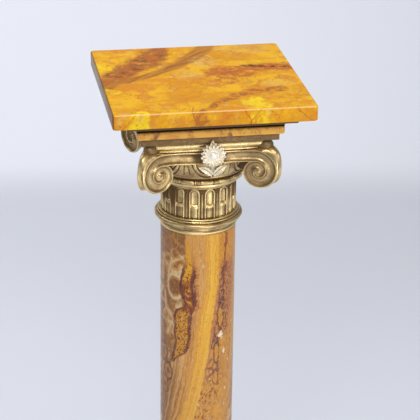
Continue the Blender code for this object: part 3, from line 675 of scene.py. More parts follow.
# The capital is one bronze casting, chased and gilt. From below it has a plain band, a string of long beads
# parted by reels, a bell carved with eggs and darts, and on each face a hem: a channel between two rims,
# which runs out at both ends into a scroll. The scrolls of two faces meet back to back at each corner.
hem_out = 0.087
eye_forward = 0.0095
eye_inset = 0.0145
scroll_half = 0.0345
scroll_turns = 2.4
scroll_shrink = 1.25
scroll_end = 2.2
rim_wide = 0.0023
channel_deep = 0.0042
trough_deep = 0.003
crest_tall = 0.0105
abacus_half = hem_out + 0.0165
abacus_fillet = 0.0115
mould_tall = 0.0175
turn_steps = 48
capital_low, capital_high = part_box("capital")
eye_out = hem_out + eye_forward
eye_side = hem_out - eye_inset
mould_foot = capital_high[2] - abacus_fillet - mould_tall
eye_z = mould_foot - scroll_half
lean_in = radians(25.0)
outward = Vector((cos(lean_in), -sin(lean_in), 0))
facing = Vector((-sin(lean_in), -cos(lean_in), 0))
upright = Vector((0, 0, 1))
diagonal = Vector((1, -1, 0)).normalized()
eye = Vector((eye_side, -eye_out, eye_z))


def scroll_reach(turns):
    """The scroll's distance from its eye, that many turns from the top."""
    return scroll_half * max(0.0, 1 - turns / scroll_turns) ** scroll_shrink


def channel(turns):
    """Across the channel from its outer rim inwards: (distance, depth, how hollow)."""
    inner = scroll_reach(turns + 1) if turns + 1 <= scroll_end else 0.0
    wide = scroll_reach(turns) - inner
    size = wide / (scroll_half - scroll_reach(1))
    rim = rim_wide * size ** 0.7
    cove = channel_deep * size ** 0.8 - 0.35 * rim
    section = [(0.0, 0.35 * rim, 0.1), (0.18 * rim, 0.08 * rim, 0.0), (0.5 * rim, 0.0, 0.0)]
    section += [(0.82 * rim, 0.08 * rim, 0.0), (rim, 0.35 * rim, 0.35)]
    for i in range(1, 9):
        share = i / 9
        depth = 0.35 * rim + cove * sin(pi * share) ** 0.62
        section.append((rim + share * (wide - rim), depth, 0.55 * (1 - share) ** 2 + 0.1))
    return section


def scroll_place(turns, inwards, depth):
    """A point of the front scroll at the front right corner."""
    angle = radians(90 - 360 * turns)
    reach = max(0.0, scroll_reach(turns) - inwards)
    return eye + reach * (cos(angle) * outward + sin(angle) * upright) - depth * facing


def hem_place(side, down, depth):
    """A point of the hem, to the right of the face's middle, and depth below its rims."""
    run = 2 * eye_forward / tan(lean_in)
    bend = max(0.0, side - (eye_side - run))
    sag = 0.003 * (1 - (side / eye_side) ** 2)
    normal = Vector((-tan(lean_in) * bend / run, -1, 0)).normalized()
    out = hem_out + eye_forward * (bend / run) ** 2
    return Vector((side, -out, eye_z + scroll_half - sag - down)) - depth * normal


def grid_faces(rows, wide):
    """The faces of a sheet of rows that are wide points long."""
    made = []
    for row in range(rows - 1):
        for a in range(row * wide, row * wide + wide - 1):
            made.append((a, a + 1, a + wide + 1, a + wide))
    return made


def hem_and_scroll():
    """The right half of the front hem, and its scroll."""
    count = round(scroll_end * turn_steps)
    points, hollow = [], []
    for i in range(count + 1):
        for wide, deep, dirt_and_shade in channel(i / turn_steps):
            points.append(scroll_place(i / turn_steps, wide, deep))
            hollow.append(dirt_and_shade)
    across = len(points) // (count + 1)
    faces = grid_faces(count + 1, across)
    heart = len(points)
    points.append(scroll_place(0, scroll_half, 0.35 * channel_deep))
    hollow.append(0.2)
    for i in range(count):
        near, far = (i + 1) * across - 1, (i + 2) * across - 1
        inner = (i + turn_steps) * across
        faces.append((near, inner, inner + across, far) if i + turn_steps < count else (near, heart, far))
    tall = scroll_half - scroll_reach(1)
    section = [(0.0, 0.016, 0.6), (0.0, 0.006, 0.5)] + channel(0)
    section += [(tall + wide, deep, dirt_and_shade) for wide, deep, dirt_and_shade in channel(1)[:5]]
    section += [(tall + 1.02 * rim_wide, 0.006, 0.9), (tall + 1.02 * rim_wide, 0.016, 1.0)]
    hem_points, hem_hollow = [], []
    for i in range(21):
        side = eye_side * i / 20
        hem_points += [hem_place(side, down, deep) for down, deep, dirt_and_shade in section]
        # Painted shadow of the sprig, with dirt: the hem darkens towards the middle of the face.
        hem_hollow += [dirt_and_shade + 0.6 * between(side, 0.034, 0.016) for down, deep, dirt_and_shade in section]
    return joined([(points, faces, hollow), (hem_points, grid_faces(21, len(section)), hem_hollow)])


def corner_band():
    """The hollow band between the two scrolls of the front right corner, with a crest at its top."""
    points, hollow = [], []
    across = 16
    for i in range(turn_steps + 1):
        near = scroll_place(i / turn_steps, 0.0, 0.35 * rim_wide)
        far = Vector((-near.y, -near.x, near.z))
        angle = 90 - 360 * i / turn_steps
        crest = between(angle, 4, 52) * between(angle, 98, 66)
        away = cos(radians(angle)) * diagonal + sin(radians(angle)) * upright
        for k in range(across + 1):
            share = k / across
            edge = min(share, 1 - share)
            bowl = between(edge, 0.14, 0.5)
            reach = crest_tall * crest * sin(pi * share) ** 0.8 - trough_deep * bowl * (1 - crest)
            reach += 0.0009 * sin(pi * min(1.0, edge / 0.18))
            points.append(near.lerp(far, share) + reach * away)
            hollow.append(0.45 * bowl if edge > 0.16 else (0.7 if edge > 0.12 else 0.0))
    return points, grid_faces(turn_steps + 1, across + 1), hollow


def mirrored(skin):
    """The skin reflected across the middle of its face."""
    points, faces, hollow = skin
    points = [Vector((-point.x, point.y, point.z)) for point in points]
    return points, [tuple(reversed(face)) for face in faces], hollow


def on_all_sides(skins):
    """The skins on each of the four sides."""
    turns = [Matrix.Rotation(radians(90 * quarter), 3, "Z") for quarter in range(4)]
    return [([turn @ point for point in points], faces, hollow)
            for turn in turns for points, faces, hollow in skins]


def welded(skins):
    """The skins as one, with points in the same place joined."""
    points, faces, hollow, known = [], [], [], {}
    for some_points, some_faces, some_hollow in skins:
        place_of = []
        for point, dirt_and_shade in zip(some_points, some_hollow):
            key = tuple(round(value * 100000) for value in point)
            if key not in known:
                known[key] = len(points)
                points.append(point)
                hollow.append(dirt_and_shade)
            place_of.append(known[key])
        for face in some_faces:
            corners = tuple(dict.fromkeys(place_of[i] for i in face))
            if len(corners) > 2:
                faces.append(corners)
    return points, faces, hollow


right_scroll = hem_and_scroll()
scrolls = welded(on_all_sides([right_scroll, mirrored(right_scroll), corner_band()]))

eggs = 8
egg_deep = 0.0032
bell_top = 0.0866
bell_foot = 0.076
bell_foot_z = capital_low[2] + 0.0183
bell_tall = 0.028


def egg_cut(turn, share):
    """How deep the bell is carved, and how hollow it lies, at a turn from an egg and a height up the bell."""
    period = 360 / eggs
    aside = abs((turn + period / 2) % period - period / 2) / (period / 2)
    ring = hypot(aside / 0.7, (share - 1.08) / 1.0)
    if ring < 0.72:
        return 0.8 * egg_deep * (ring / 0.72) ** 3, 0.28
    if ring < 0.8:
        return 0.9 * egg_deep, 0.5
    if ring < 1.0:
        return 0.3 * egg_deep * abs(2 * (ring - 0.8) / 0.2 - 1), 0.15
    if ring < 1.07:
        return 0.8 * egg_deep, 0.45
    groove = abs((1 - aside) - 0.06 - 0.12 * (1 - share))
    if groove < 0.03 and 0.2 < share < 0.8:
        return 0.7 * egg_deep, 0.55
    return 0.35 * egg_deep, 0.4


beads = 15
bead_turn = 12.8
bead_thick = 0.0042
bead_ring = shaft_half + 0.014 - 0.004


def bead_reach(turn):
    """The thickness of the string of beads at a turn, and how hollow: a long bead, then three thin reels."""
    share = ((turn - bead_turn) * beads / 360 + 0.5) % 1.0
    from_reel = abs(share - 0.5) * 360 / beads
    if from_reel > 3.6:
        run = (from_reel - 3.6) / (180 / beads - 3.6)
        return bead_thick * (0.62 + 0.38 * sqrt(max(0.0, 1 - (1 - min(1.0, run * 2.4)) ** 2))), 0.0
    if from_reel > 3.2:
        return 0.55 * bead_thick, 0.7
    disc = abs((from_reel + 1.05) % 2.1 - 1.05)
    if disc < 0.68:
        return 0.9 * bead_thick * sqrt(1 - 0.3 * (disc / 0.68) ** 2), 0.0
    return 0.68 * bead_thick, 0.5


round_steps = 720
steps_round = [360 * k / round_steps for k in range(round_steps)]
band_out = shaft_half + 0.0107
foot = capital_low[2]
bead_z = foot + 0.0042 + 0.004
rings = [[place] * round_steps for place in (
    (band_out - 0.0006, foot, 0.4), (band_out, foot + 0.0006, 0.0),
    (band_out, foot + 0.0036, 0.0), (band_out - 0.0016, foot + 0.0042, 0.9))]
for i in range(15):
    swing = radians(-100 + 200 * i / 14)
    string = [bead_reach(turn) for turn in steps_round]
    rings.append([(bead_ring + thick * cos(swing), bead_z + thick * sin(swing), dirt_and_shade)
                  for thick, dirt_and_shade in string])
rings.append([(bead_ring + 0.001, bead_z + 0.0048, 1.0)] * round_steps)
rings.append([(bell_foot - 0.0012, bell_foot_z - 0.0012, 0.5)] * round_steps)
bell_levels = 34
for i in range(bell_levels + 1):
    share = i / bell_levels
    base = bell_foot + (bell_top - bell_foot) * sin(share * pi / 2)
    carved = [egg_cut(turn, share) for turn in steps_round]
    rings.append([(base - cut * between(share, 0.0, 0.06), bell_foot_z + share * bell_tall, dirt_and_shade)
                  for cut, dirt_and_shade in carved])
rings.append([(bell_top - 0.01, bell_foot_z + bell_tall + 0.0008, 1.0)] * round_steps)
rings.append([(bell_top - 0.01, mould_foot - 0.002, 1.0)] * round_steps)
around = [(sin(radians(turn)), -cos(radians(turn))) for turn in steps_round]
skin = [[(radius * x, radius * y, z) for (radius, z, dirt_and_shade), (x, y) in zip(ring, around)] for ring in rings]
bell = loft(skin, [dirt_and_shade for ring in rings for radius, z, dirt_and_shade in ring])

abacus_low = capital_high[2] - abacus_fillet
ovolo_half = 0.0925
ovolo_round = 0.0066
profile = [(-0.003, -0.006, 0.6), (-0.003, 0.0002, 0.4), (0.0016, 0.0004, 0.1), (0.002, 0.002, 0.0)]
profile = from_corner(hem_out, mould_foot, profile + [(0.0016, 0.0028, 0.3)])
profile += arc((ovolo_half - ovolo_round, mould_foot + 0.0094), ovolo_round, -60, 70, [0.0] * 11)
profile += from_corner(ovolo_half, abacus_low, [(-0.003, -0.0012, 0.35), (-0.0026, 0, 0.5)])
abacus_lip = [(-0.0016, 0, 0.8), (-0.0004, 0.0004, 0.75), (0, 0.0014, 0.82)]
profile += from_corner(abacus_half, abacus_low, abacus_lip)
profile += from_corner(abacus_half, capital_high[2], [(0, -0.001, 0.82), (-0.0008, 0, 0.5)])
abacus = moulding(profile, lambda half, z: square_ring(half, 0.0007, z, 3))


def ovals(sections, side, up, steps, dirt_and_shade):
    """A round lump through ovals, each (middle, reach to the side, reach up)."""
    turns = [2 * pi * i / steps for i in range(steps)]
    rings = [[middle + side * wide * cos(turn) + up * tall * sin(turn) for turn in turns]
             for middle, wide, tall in sections]
    return loft(rings, [dirt_and_shade] * steps * len(sections))


# Behind each pair of scrolls the metal is a rounded web, and a round lug fills the corner above the crest.
# Both are painted dark, as dirt with painted shade.
web = [(0.045, 0.011, 0.017), (0.085, 0.01, 0.016), (0.11, 0.0085, 0.014), (0.122, 0.006, 0.01)]
web = [(diagonal * reach + upright * (eye_z + 0.006), wide, tall) for reach, wide, tall in web]
lug = [(0.09, 0.011), (0.118, 0.011), (0.124, 0.0106), (0.1285, 0.0094), (0.132, 0.007), (0.1338, 0.0035)]
lug = [(diagonal * reach + upright * (mould_foot + mould_tall - 0.0125), size, size) for reach, size in lug]
aside = Vector((1, 1, 0)).normalized()
corners = on_all_sides([ovals(web, aside, upright, 20, 0.9), ovals(lug, aside, upright, 28, 0.75)])
piece("capital_casting", [abacus, bell, scrolls, *corners], gilt_bronze, "gilt_bronze", "capital")

# The front and the back of the capital have a gilt sprig, cast and chased apart and pinned on: a daisy of
# sixteen narrow petals in two rows round a domed button, two toothed leaves under it, a stem and a small bud
# above. It was burnished, and its near-white colours also hold a painted sheen, so it is far paler and
# brighter than the capital; the button carries a painted highlight.
bright_rim = (1.0, 0.98, 0.87)
bright_gold = (1.0, 0.95, 0.78)
bright_warm = (0.95, 0.82, 0.55)
bright_dirt_and_shade = (0.5, 0.33, 0.12)
sprig_gilt = gilt("bright_gilt", bright_rim, bright_gold, bright_warm, bright_dirt_and_shade, 0.24, 0.38)
petals = 16
daisy_half = 0.019
button_half = 0.007
towards_back = Vector((0, 1, 0))


def cut_sheet(points, hollow, wide, thick):
    """A sheet of rows that are wide points long, as thick as given behind its front."""
    front = len(points)
    rows = front // wide
    faces = grid_faces(rows, wide)
    faces += [tuple(front + i for i in reversed(face)) for face in faces]
    edge = [i * wide for i in range(rows)] + list(range(front - wide + 1, front))
    edge += [i * wide + wide - 1 for i in range(rows - 2, -1, -1)] + list(range(wide - 2, 0, -1))
    faces += [(a, front + a, front + b, b) for a, b in zip(edge, edge[1:] + edge[:1])]
    return points + [point + thick * towards_back for point in points], faces, hollow + [1.0] * front


def petal_skin(turn, length, wide, lift, back):
    """One petal facing -Y: a narrow trough with a round tip, rising from the button."""
    points, hollow = [], []
    out_along = Vector((cos(turn), 0, sin(turn)))
    across = Vector((-sin(turn), 0, cos(turn)))
    start = button_half * 0.6
    for i in range(9):
        share = i / 8
        half = wide * sin(pi * min(0.97, 0.16 + 0.72 * share)) ** 0.7 * (1 if share < 0.9 else 0.62)
        for k in range(7):
            aside = k / 3 - 1
            groove = 0.001 * (1 - aside * aside) * (0.3 + 0.7 * share)
            behind = groove - back - lift * sin(share * 2.2)
            flat_place = (start + (length - start) * share) * out_along + half * aside * across
            points.append(flat_place + behind * towards_back)
            hollow.append(0.65 * (1 - abs(aside)) * (1 - 0.4 * share) + (0.5 if share < 0.2 else 0.0))
    return cut_sheet(points, hollow, 7, 0.0012)


def dome_skin(half, tall, back):
    """The flower's button, facing -Y, with a ring of small grains round it."""
    rings = []
    turns = [2 * pi * k / 36 for k in range(36)]
    for i in range(10):
        swing = radians(90 * i / 9.3)
        grained = 0.05 if i in (1, 2, 3) else 0.0
        reach = [half * cos(swing) * (1 + grained * cos(12 * turn)) for turn in turns]
        out = back + tall * sin(swing)
        rings.append([(far * cos(turn), -out, far * sin(turn)) for far, turn in zip(reach, turns)])
    # Painted highlight: the dome's points take the rim colour; the ring at its foot is painted dark.
    return loft(rings, [0.8] * 36 + [-0.6] * 324)


def leaf_skin(root, tip, wide, out, bend):
    """A toothed leaf from root to tip, in the plane of the face, folded along its midrib."""
    along_leaf = Vector(tip) - Vector(root)
    across = Vector((-along_leaf.z, 0, along_leaf.x)).normalized()
    points, hollow = [], []
    for i in range(19):
        share = i / 18
        tooth = 1 - 0.22 * (share * 4.5 % 1.0)
        half = wide * sin(pi * min(0.985, 0.1 + 0.88 * share)) ** 0.75 * tooth
        middle = Vector(root) + share * along_leaf + across * bend * sin(pi * share)
        middle -= out * sin(pi * (0.15 + 0.75 * share)) * towards_back
        for k in range(9):
            aside = k / 4 - 1
            vein = 0.0004 * cos(share * 40 + abs(aside) * 5)
            behind = 0.00096 * (1 - abs(aside)) ** 1.4 - 0.0018 * abs(aside) - vein
            points.append(middle + across * half * aside + behind * towards_back)
            hollow.append(0.9 if abs(aside) < 0.1 else 0.15)
    return cut_sheet(points, hollow, 9, 0.0014)


def rod_skin(start, end, half, wide_half):
    """A short round rod, oval across."""
    start, end = Vector(start), Vector(end)
    along_rod = (end - start).normalized()
    side = Vector((1, 0, 0))
    sections = [(start.lerp(end, share), swell * wide_half, swell * half)
                for share, swell in ((0.0, 0.6), (0.1, 1.0), (0.9, 1.0), (1.0, 0.6))]
    return ovals(sections, side, along_rod.cross(side).normalized(), 14, 0.3)


# Facing -Y, with the flower's middle at the origin: petals, button, stem, pin, two leaves and the bud.
sprig = []
for length, wide, lift, back, offset in ((daisy_half, 0.003, 0.003, 0.0002, 0.5),
                                         (daisy_half * 0.9, 0.0024, 0.0042, 0.002, 0.0)):
    turns = [2 * pi * (i + offset) / petals for i in range(petals)]
    sprig += [petal_skin(turn, length, wide, lift, back) for turn in turns]
sprig += [dome_skin(button_half, 0.0052, 0.0036), dome_skin(button_half * 1.5, 0.003, 0.0022)]
sprig.append(rod_skin((0, 0.001, 0), (0, 0.001, -0.0322), 0.0016, 0.0022))
sprig.append(rod_skin((0, 0.0012, -0.006), (0, 0.0186, -0.006), 0.002, 0.0032))
sprig.append(leaf_skin((-0.001, 0, -0.0318), (-0.0225, -0.004, -0.0165), 0.0052, 0.003, -0.002))
sprig.append(leaf_skin((0.001, 0, -0.0318), (0.0195, -0.004, -0.015), 0.0056, 0.004, 0.002))
sprig.append(leaf_skin((-0.001, 0.001, 0.01), (-0.001, 0.0, 0.0245), 0.003, 0.001, 0.0))

flower_back = hem_out + 0.019
flower_z = eye_z + scroll_half - 0.003 + 0.0035
for turn, side in ((0, "front"), (180, "back")):
    seat = Matrix.Rotation(radians(turn), 4, "Z") @ Matrix.Translation((0.0035, -flower_back, flower_z))
    skins = [([seat @ point for point in points], faces, hollow) for points, faces, hollow in sprig]
    piece("sprig_" + side, skins, sprig_gilt, "bright_gilt", "flower_" + side)

# The lower slab is a thinner square of the same marble as the top, duller and never as well polished. It has
# purple-brown patches and a few small pits along its upper edge, where a painted shadow of the plate also
# darkens it.
slab_amber = (0.78, 0.36, 0.075)
slab_gold = (0.9, 0.47, 0.085)
slab_orange = (0.66, 0.275, 0.065)
slab_purple = (0.24, 0.09, 0.055)
slab_lemon = (0.86, 0.56, 0.04)
slab_plate_shadow = (0.2, 0.075, 0.025)
slab_pit = (0.05, 0.022, 0.01)
slab_marble, shader, place = finish("slab_marble")
drift = place.stirred(26, 0.01)
pit = place.stirred(400, 0.0012)
pit = cells(pit, 480, "F1").rise(0.44, 0.32)
slab_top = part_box("lower_slab")[1][2]
# Painted shadow of the plate along the upper edge, where the pits also gather.
plate_shadow_and_pit_edge = (place.axes()[2] + 0.006 * (place.clouds(90, 3) - 0.5)).rise(slab_top - 0.0045, slab_top - 0.0005)
pit = pit * (0.45 * place.clouds(60, 3).rise(0.52, 0.62)).either(plate_shadow_and_pit_edge * 0.6)
colour = coats(
    slab_amber,
    (drift.clouds(26, 5, 0.6).rise(0.38, 0.52), slab_gold),
    (drift.clouds(70, 5, 0.7).rise(0.52, 0.62) * 0.45, slab_orange),
    (drift.stretched(1, 1, 0.5).clouds(20, 4).rise(0.57, 0.62) * 0.85, slab_purple),
    (place.clouds(55, 4).rise(0.6, 0.66) * 0.8, slab_lemon),
    (plate_shadow_and_pit_edge * 0.3, slab_plate_shadow),
    (pit * 0.9, slab_pit),
)
lay(shader, Base_Color=colour, Roughness=0.28 + 0.3 * pit, Normal=raised(1 - pit, 0.0004))
lay(shader, Specular_IOR_Level=0.15)
piece("lower_slab_block", [slab_skin("lower_slab", 0.002)], slab_marble, "slab_marble", "lower_slab")

# Under the top lies a bronze plate gone dark brown: a wide flat one with a rounded edge, on a step that is
# as broad as the marble slab below and has a thin bead and a quirk run along it.
plate_rim = (0.2, 0.12, 0.06)
plate_brown = (0.055, 0.026, 0.011)
plate_warm = (0.085, 0.04, 0.016)
plate_dirt_and_shade = (0.018, 0.009, 0.005)
brown_bronze = gilt("brown_bronze", plate_rim, plate_brown, plate_warm, plate_dirt_and_shade, 0.55, 0.45, 0.08)
plate_low, plate_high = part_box("under_plate")
plate_half = plate_high[0]
step_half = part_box("lower_slab")[1][0] + 0.0005
foot = plate_low[2]
plate_z = plate_high[2] - 0.0105
profile = from_corner(step_half, foot, [(-0.001, 0, 1.0), (-0.0004, 0.0012, 0.8), (-0.0012, 0.0018, 0.9)])
for i in range(7):
    swing = radians(-70 + 150 * i / 6)
    bead = (-0.0016 * (1 - cos(swing)), 0.0038 + 0.0017 * sin(swing), 0.0)
    profile += from_corner(step_half, foot, [bead])
profile += [(step_half - 0.002, foot + 0.006, 0.9), (step_half - 0.0022, plate_z, 1.0)]
profile += from_corner(plate_half, plate_z, [(-0.001, 0, 0.8), (-0.0003, 0.0003, 0.2), (0, 0.001, 0.2)])
profile.append((plate_half, plate_high[2], 0.5))
plate = moulding(profile, lambda half, z: square_ring(half, 0.0012, z, 3))
piece("plate_moulding", [plate], brown_bronze, "brown_bronze", "under_plate")

# The top is one square slab of amber-yellow marble, polished on every face, with round corners. A brown
# cloud lies across its left back, a streaky brown vein sweeps in an arc from the left edge to the back, a
# red-brown band runs in from the right, and thinner veins cross the front and run down over its edge.
top_amber = (0.71, 0.305, 0.017)
top_gold = (0.85, 0.46, 0.022)
top_orange = (0.68, 0.245, 0.028)
top_tan = (0.62, 0.29, 0.055)
top_lemon = (0.92, 0.68, 0.022)
top_haze = (0.74, 0.48, 0.15)
top_brown = (0.36, 0.125, 0.03)
top_umber = (0.24, 0.085, 0.026)
top_red = (0.48, 0.12, 0.03)
top_dark = (0.11, 0.045, 0.02)
streak_brown = (0.3, 0.105, 0.024)
streak_tan = (0.53, 0.215, 0.032)
left_face_shade = (0.15, 0.06, 0.025)
arris_highlight = (1.0, 0.72, 0.36)
marble_top, shader, place = finish("top_marble")
drift = place.stirred(26, 0.01, 6)
x, y, z = drift.axes()
px, py, pz = place.axes()
fx, fy, _ = place.stirred(60, 0.003, 4).axes()
skin = drift.clouds(16, 8, 0.7) + 0.25 * (place.clouds(110, 7, 0.72) - 0.5)
rough_edge = place.clouds(75, 7, 0.7) - 0.5
mottle = drift.clouds(75, 6, 0.72)
curls = place.stirred(90, 0.006, 5).clouds(60, 6, 0.7)


def patches(*places, crisp=0.3):
    """Ragged patches on the top, each (x, y, reach in x, reach in y), full in their middles."""
    made = []
    for middle_x, middle_y, reach_x, reach_y in places:
        aside, ahead = (x - middle_x) / reach_x, (y - middle_y) / reach_y
        made.append((aside * aside + ahead * ahead + 5.0 * rough_edge).rise(1.0 + crisp, 1.0 - crisp))
    return made[0].either(*made[1:])


def vein_along(points, half_wide, soft, tatter, across=y, run=x):
    """A vein that follows (x, y) points over the top. It runs on down the edges it meets."""
    route = [(at_x / 0.32 + 0.5, at_y / 0.4 + 0.5) for at_x, at_y in points]
    share = run / 0.32 + 0.5
    curve = share.node("FloatCurve", {"route": route}, {"Value": share})
    away = abs(across - (curve - 0.5) * 0.4) + tatter * rough_edge
    start, end = points[0][0], points[-1][0]
    ends = run.rise(start - 0.006, start + 0.004) * run.rise(end + 0.006, end - 0.004)
    return (away / half_wide).rise(1 + soft, 1 - soft) * ends


def crack(at_x, slant, long):
    """A thin dark red crack that runs down the front face and a little way over its arris."""
    away = abs(x - at_x - slant * (z - column_top + 0.012) + 0.012 * rough_edge)
    return away.rise(0.0016, 0.0005) * y.rise(-0.15 + long, -0.15 + long - 0.004)


def lines(base, scale, detail, wide):
    """Thin lines where clouds pass through their middle value."""
    return abs(base.clouds(scale, detail, 0.6) - 0.5).rise(wide, 0.0)


brown_cloud = vein_along([(-0.16, -0.04), (-0.13, 0.01), (-0.1, 0.05), (-0.08, 0.078), (-0.06, 0.1),
                          (-0.03, 0.155)], 0.04, 0.35, 0.07)
clouded = coats(top_brown, (mottle.rise(0.44, 0.56), top_red), (curls.rise(0.46, 0.38) * 0.8, top_umber),
                (curls.rise(0.56, 0.64) * 0.8, top_tan))
spots = patches((-0.08, 0.083, 0.012, 0.018), (-0.125, 0.026, 0.012, 0.014), (-0.095, 0.052, 0.01, 0.012))
spots = spots.either(patches((-0.045, 0.118, 0.01, 0.012)) * 0.6)
sweep = vein_along([(-0.16, -0.03), (-0.13, -0.013), (-0.09, 0.007), (-0.05, 0.035), (-0.01, 0.075),
                    (0.02, 0.118), (0.045, 0.165)], 0.0095 + 0.019 * fy.rise(0.0, 0.13), 0.28, 0.006, fy, fx)
streak = fy.node("CombineXYZ", {}, {0: (fy - fx * 0.95) * 120, 1: (fx + fy) * 9}).clouds(1.0, 5, 0.65)
right_band = vein_along([(0.01, 0.012), (0.03, 0.019), (0.06, 0.027), (0.09, 0.034), (0.11, 0.034),
                         (0.16, 0.028)], 0.017, 0.45, 0.034)
lobe = patches((0.058, 0.004, 0.03, 0.015), (0.04, -0.018, 0.02, 0.018))
specks = vein_along([(0.07, 0.04), (0.09, 0.045), (0.11, 0.04), (0.13, 0.037), (0.16, 0.034)],
                    0.005, 0.5, 0.02)
blob = patches((-0.103, -0.036, 0.03, 0.02), (-0.06, -0.004, 0.03, 0.008))
front_vein = vein_along([(-0.03, -0.16), (-0.02, -0.15), (0.0, -0.125), (0.025, -0.1), (0.055, -0.083),
                         (0.085, -0.07), (0.12, -0.066)], 0.0105, 0.6, 0.036)
side_vein = vein_along([(-0.065, -0.118), (-0.03, -0.098), (0.0, -0.078), (0.03, -0.074)], 0.005, 0.6, 0.02)
lemon = patches((-0.142, 0.062, 0.018, 0.018), (-0.146, -0.05, 0.02, 0.015), (0.064, -0.122, 0.018, 0.029),
                (-0.112, -0.155, 0.016, 0.016), (0.062, -0.152, 0.012, 0.02))
lemon = lemon.either(patches((0.1, 0.058, 0.045, 0.009)) * 0.45)
hazes = patches((0.015, 0.068, 0.022, 0.026), (-0.018, 0.012, 0.026, 0.02), (0.1, 0.125, 0.034, 0.024),
                (0.115, -0.04, 0.026, 0.016), crisp=0.6)
wisp = lines(place.stirred(60, 0.008, 3), 22, 3, 0.012) * place.clouds(15, 3).rise(0.46, 0.56)
thread = lines(place.stirred(35, 0.008), 13, 4, 0.007) * place.clouds(20, 3).rise(0.5, 0.6)
cracks = crack(-0.129, 0.9, 0.004).either(crack(-0.03, -0.2, 0.02), crack(0.046, -0.7, 0.006),
                                          crack(0.058, 0.8, 0.004), crack(0.132, -0.9, 0.008))
side_low, side_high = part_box("top_slab")
front_face = py.rise(side_low[1] + 0.003, side_low[1] + 0.001)
fall = place.stretched(1, 0.25, 0.3).stirred(60, 0.004).clouds(46, 5, 0.6)
# Painted shade: the left face is darkened brown.
left_face = px.rise(side_low[0] + 0.0022, side_low[0] + 0.001)
# Painted highlight: a pale line along the top of the front arris.
arris = pz.rise(side_high[2] - 0.0022, side_high[2] - 0.001)
arris = arris * py.rise(side_low[1] + 0.0018, side_low[1] + 0.0006)
colour = coats(
    top_amber,
    (skin.rise(0.4, 0.6), top_gold),
    (drift.clouds(30, 8, 0.7).rise(0.52, 0.6) * 0.75, top_orange),
    (place.stirred(40, 0.01, 5).clouds(24, 7, 0.68, 0.4).rise(0.58, 0.66) * 0.55, top_haze),
    (place.stirred(52, 0.008, 5).clouds(46, 7, 0.7).rise(0.56, 0.64) * 0.65, top_tan),
    (brown_cloud * mottle.rise(0.32, 0.42) * 0.92, clouded),
    (spots * curls.rise(0.52, 0.44) * 0.8, top_dark),
    (sweep * 0.92, streak.rise(0.38, 0.58).tint(streak_brown, streak_tan)),
    (right_band * mottle.rise(0.32, 0.44) * 0.9, mottle.rise(0.5, 0.6).tint(top_red, top_orange)),
    (lobe * mottle.rise(0.4, 0.52) * 0.8, top_red),
    (specks * curls.rise(0.56, 0.47), top_dark),
    (blob * mottle.rise(0.38, 0.5) * 0.8, top_orange),
    (front_vein * mottle.rise(0.3, 0.4) * 0.9, mottle.rise(0.46, 0.56).tint(top_brown, top_orange)),
    (side_vein * mottle.rise(0.38, 0.5) * 0.7, top_orange),
    (lemon * mottle.rise(0.6, 0.48) * (0.45 + 0.4 * curls.rise(0.42, 0.56)), top_lemon),
    (hazes * mottle.rise(0.36, 0.58) * 0.55, top_haze),
    (wisp * 0.55, top_brown),
    (thread * 0.8, top_red),
    (cracks * 0.85, top_red),
    (place.clouds(700, 3, 0.6).rise(0.58, 0.72) * 0.25, top_lemon),
    (fall.rise(0.52, 0.6) * front_face * 0.55, top_orange),
    (fall.rise(0.42, 0.34) * front_face * 0.3, top_haze),
    (left_face * 0.85, left_face_shade),
    (arris * 0.55, arris_highlight),
)
lay(shader, Base_Color=colour, Roughness=0.16 + 0.14 * skin, Normal=raised(place.clouds(240, 3), 0.00005))
lay(shader, Specular_IOR_Level=0.03)
piece("top_block", [slab_skin("top_slab")], marble_top, "top_marble", "top_slab")

# The column stands on pale paper, nearly square to the camera, that turns up behind it. Its colour holds
# painted light: brighter on the wall, with painted shade on the floor behind and on the right of the wall.
# Soft boxes stand high in front and a little left, broad in front on the right, low in front, and a weak one
# on the right. A wide one hangs overhead and one washes the left of the paper behind.
near_paper = (0.75, 0.77, 0.84)
paper_shade = (0.7, 0.72, 0.78)
paper_wall_light = (0.86, 0.88, 0.95)
paper, shader, place = finish("pale_paper")
paper_aside, paper_back, paper_height = place.axes()
cloudy = place.clouds(2.5, 2)
wall = paper_height.rise(0.0, 0.06)
# Painted light and shade: the floor darkens towards the wall, the wall is lighter, and its right side darker.
shade = coats(near_paper, (paper_back.rise(0.9, 1.8), paper_shade), (wall, paper_wall_light),
              (paper_aside.rise(0.0, 1.3) * wall * 0.45, paper_shade), (cloudy * 0.15, paper_shade))
lay(shader, Base_Color=shade, Roughness=0.75 + 0.1 * cloudy)
sweep_start = 1.94
sweep_round = 0.3
paper_half = 6.0
paper_long = 2.0
slope = radians(55)
profile = [(-6.0, 0.0), (sweep_start, 0.0)]
for i in range(1, 13):
    swing = slope * i / 12
    profile.append((sweep_start + sweep_round * sin(swing), sweep_round * (1 - cos(swing))))
profile.append((profile[-1][0] + paper_long * cos(slope), profile[-1][1] + paper_long * sin(slope)))
mesh = bpy.data.meshes.new("paper")
mesh.from_pydata([(side * paper_half, y, z) for y, z in profile for side in (-1, 1)], [],
                 grid_faces(len(profile), 2))
mesh.shade_smooth()
mesh.materials.append(paper)
backdrop = placed("paper_sweep", mesh)
backdrop.rotation_euler.z = radians(-7.0)

sky = bpy.data.worlds.new("soft_room")
sky.use_nodes = True
sky.node_tree.nodes["Background"].inputs["Color"].default_value = (0.93, 0.95, 1.0, 1)
sky.node_tree.nodes["Background"].inputs["Strength"].default_value = 0.28
bpy.context.scene.world = sky
bpy.context.scene.view_settings.view_transform = "Standard"

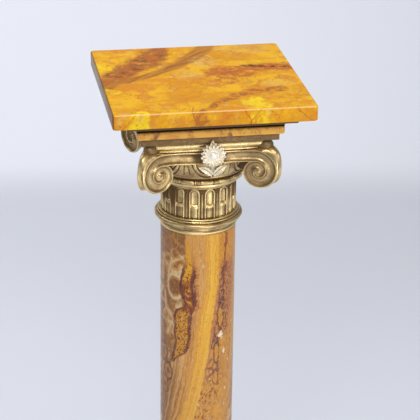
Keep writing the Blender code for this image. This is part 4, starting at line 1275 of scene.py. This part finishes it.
capital_place = (0, 0, 0.95)
paper_place = (-1.0, 2.1, 0.3)
warm_white = (1.0, 0.99, 0.97)
for name, place, aim, wide, tall, power, colour in (
    ("right_lamp", (1.75, -1.45, 1.15), capital_place, 1.0, 1.3, 6, (1.0, 0.98, 0.95)),
    ("front_lamp", (-0.7, -2.6, 2.9), capital_place, 1.4, 1.0, 36, warm_white),
    ("fill_lamp", (0.9, -3.4, 1.3), capital_place, 2.6, 1.8, 14, warm_white),
    ("low_lamp", (0.6, -2.3, 0.15), capital_place, 1.6, 0.4, 7, warm_white),
    ("top_lamp", (0.2, -0.3, 5.2), capital_place, 4.0, 4.0, 108, (1.0, 1.0, 1.0)),
    ("paper_lamp", (-1.4, 1.0, 2.4), paper_place, 2.0, 1.0, 20, (0.98, 0.99, 1.0)),
):
    light = bpy.data.lights.new(name, "AREA")
    light.shape = "RECTANGLE"
    light.size, light.size_y = wide, tall
    light.energy = power
    light.color = colour
    made = placed(name, light)
    made.location = place
    made.rotation_euler = (Vector(aim) - Vector(place)).to_track_quat("-Z", "Y").to_euler()

# The camera stands to the left of the column's front and well above it, with a long lens, and looks down
# on the capital, so the lower half of the column is out of view.
yaw = radians(-10.18)
pitch = radians(-23.62)
roll = radians(0.77)
lens_pixels = 1652.2
photo_pixels = 420
camera_place = Vector((-0.401, -2.338, column_top + 0.8179))
ahead = Vector((-sin(yaw) * cos(pitch), cos(yaw) * cos(pitch), sin(pitch)))
level = Vector((cos(yaw), sin(yaw), 0))
upward = level.cross(ahead)
rolled_side = cos(roll) * level + sin(roll) * upward
rolled_up = cos(roll) * upward - sin(roll) * level
facing_camera = Matrix((rolled_side, rolled_up, -ahead)).transposed().to_4x4()
lens = bpy.data.cameras.new("camera")
lens.sensor_width = 36
lens.lens = lens_pixels / photo_pixels * lens.sensor_width
lens.clip_start, lens.clip_end = 0.05, 50
camera = placed("camera", lens)
camera.matrix_world = Matrix.Translation(camera_place) @ facing_camera
bpy.context.scene.camera = camera
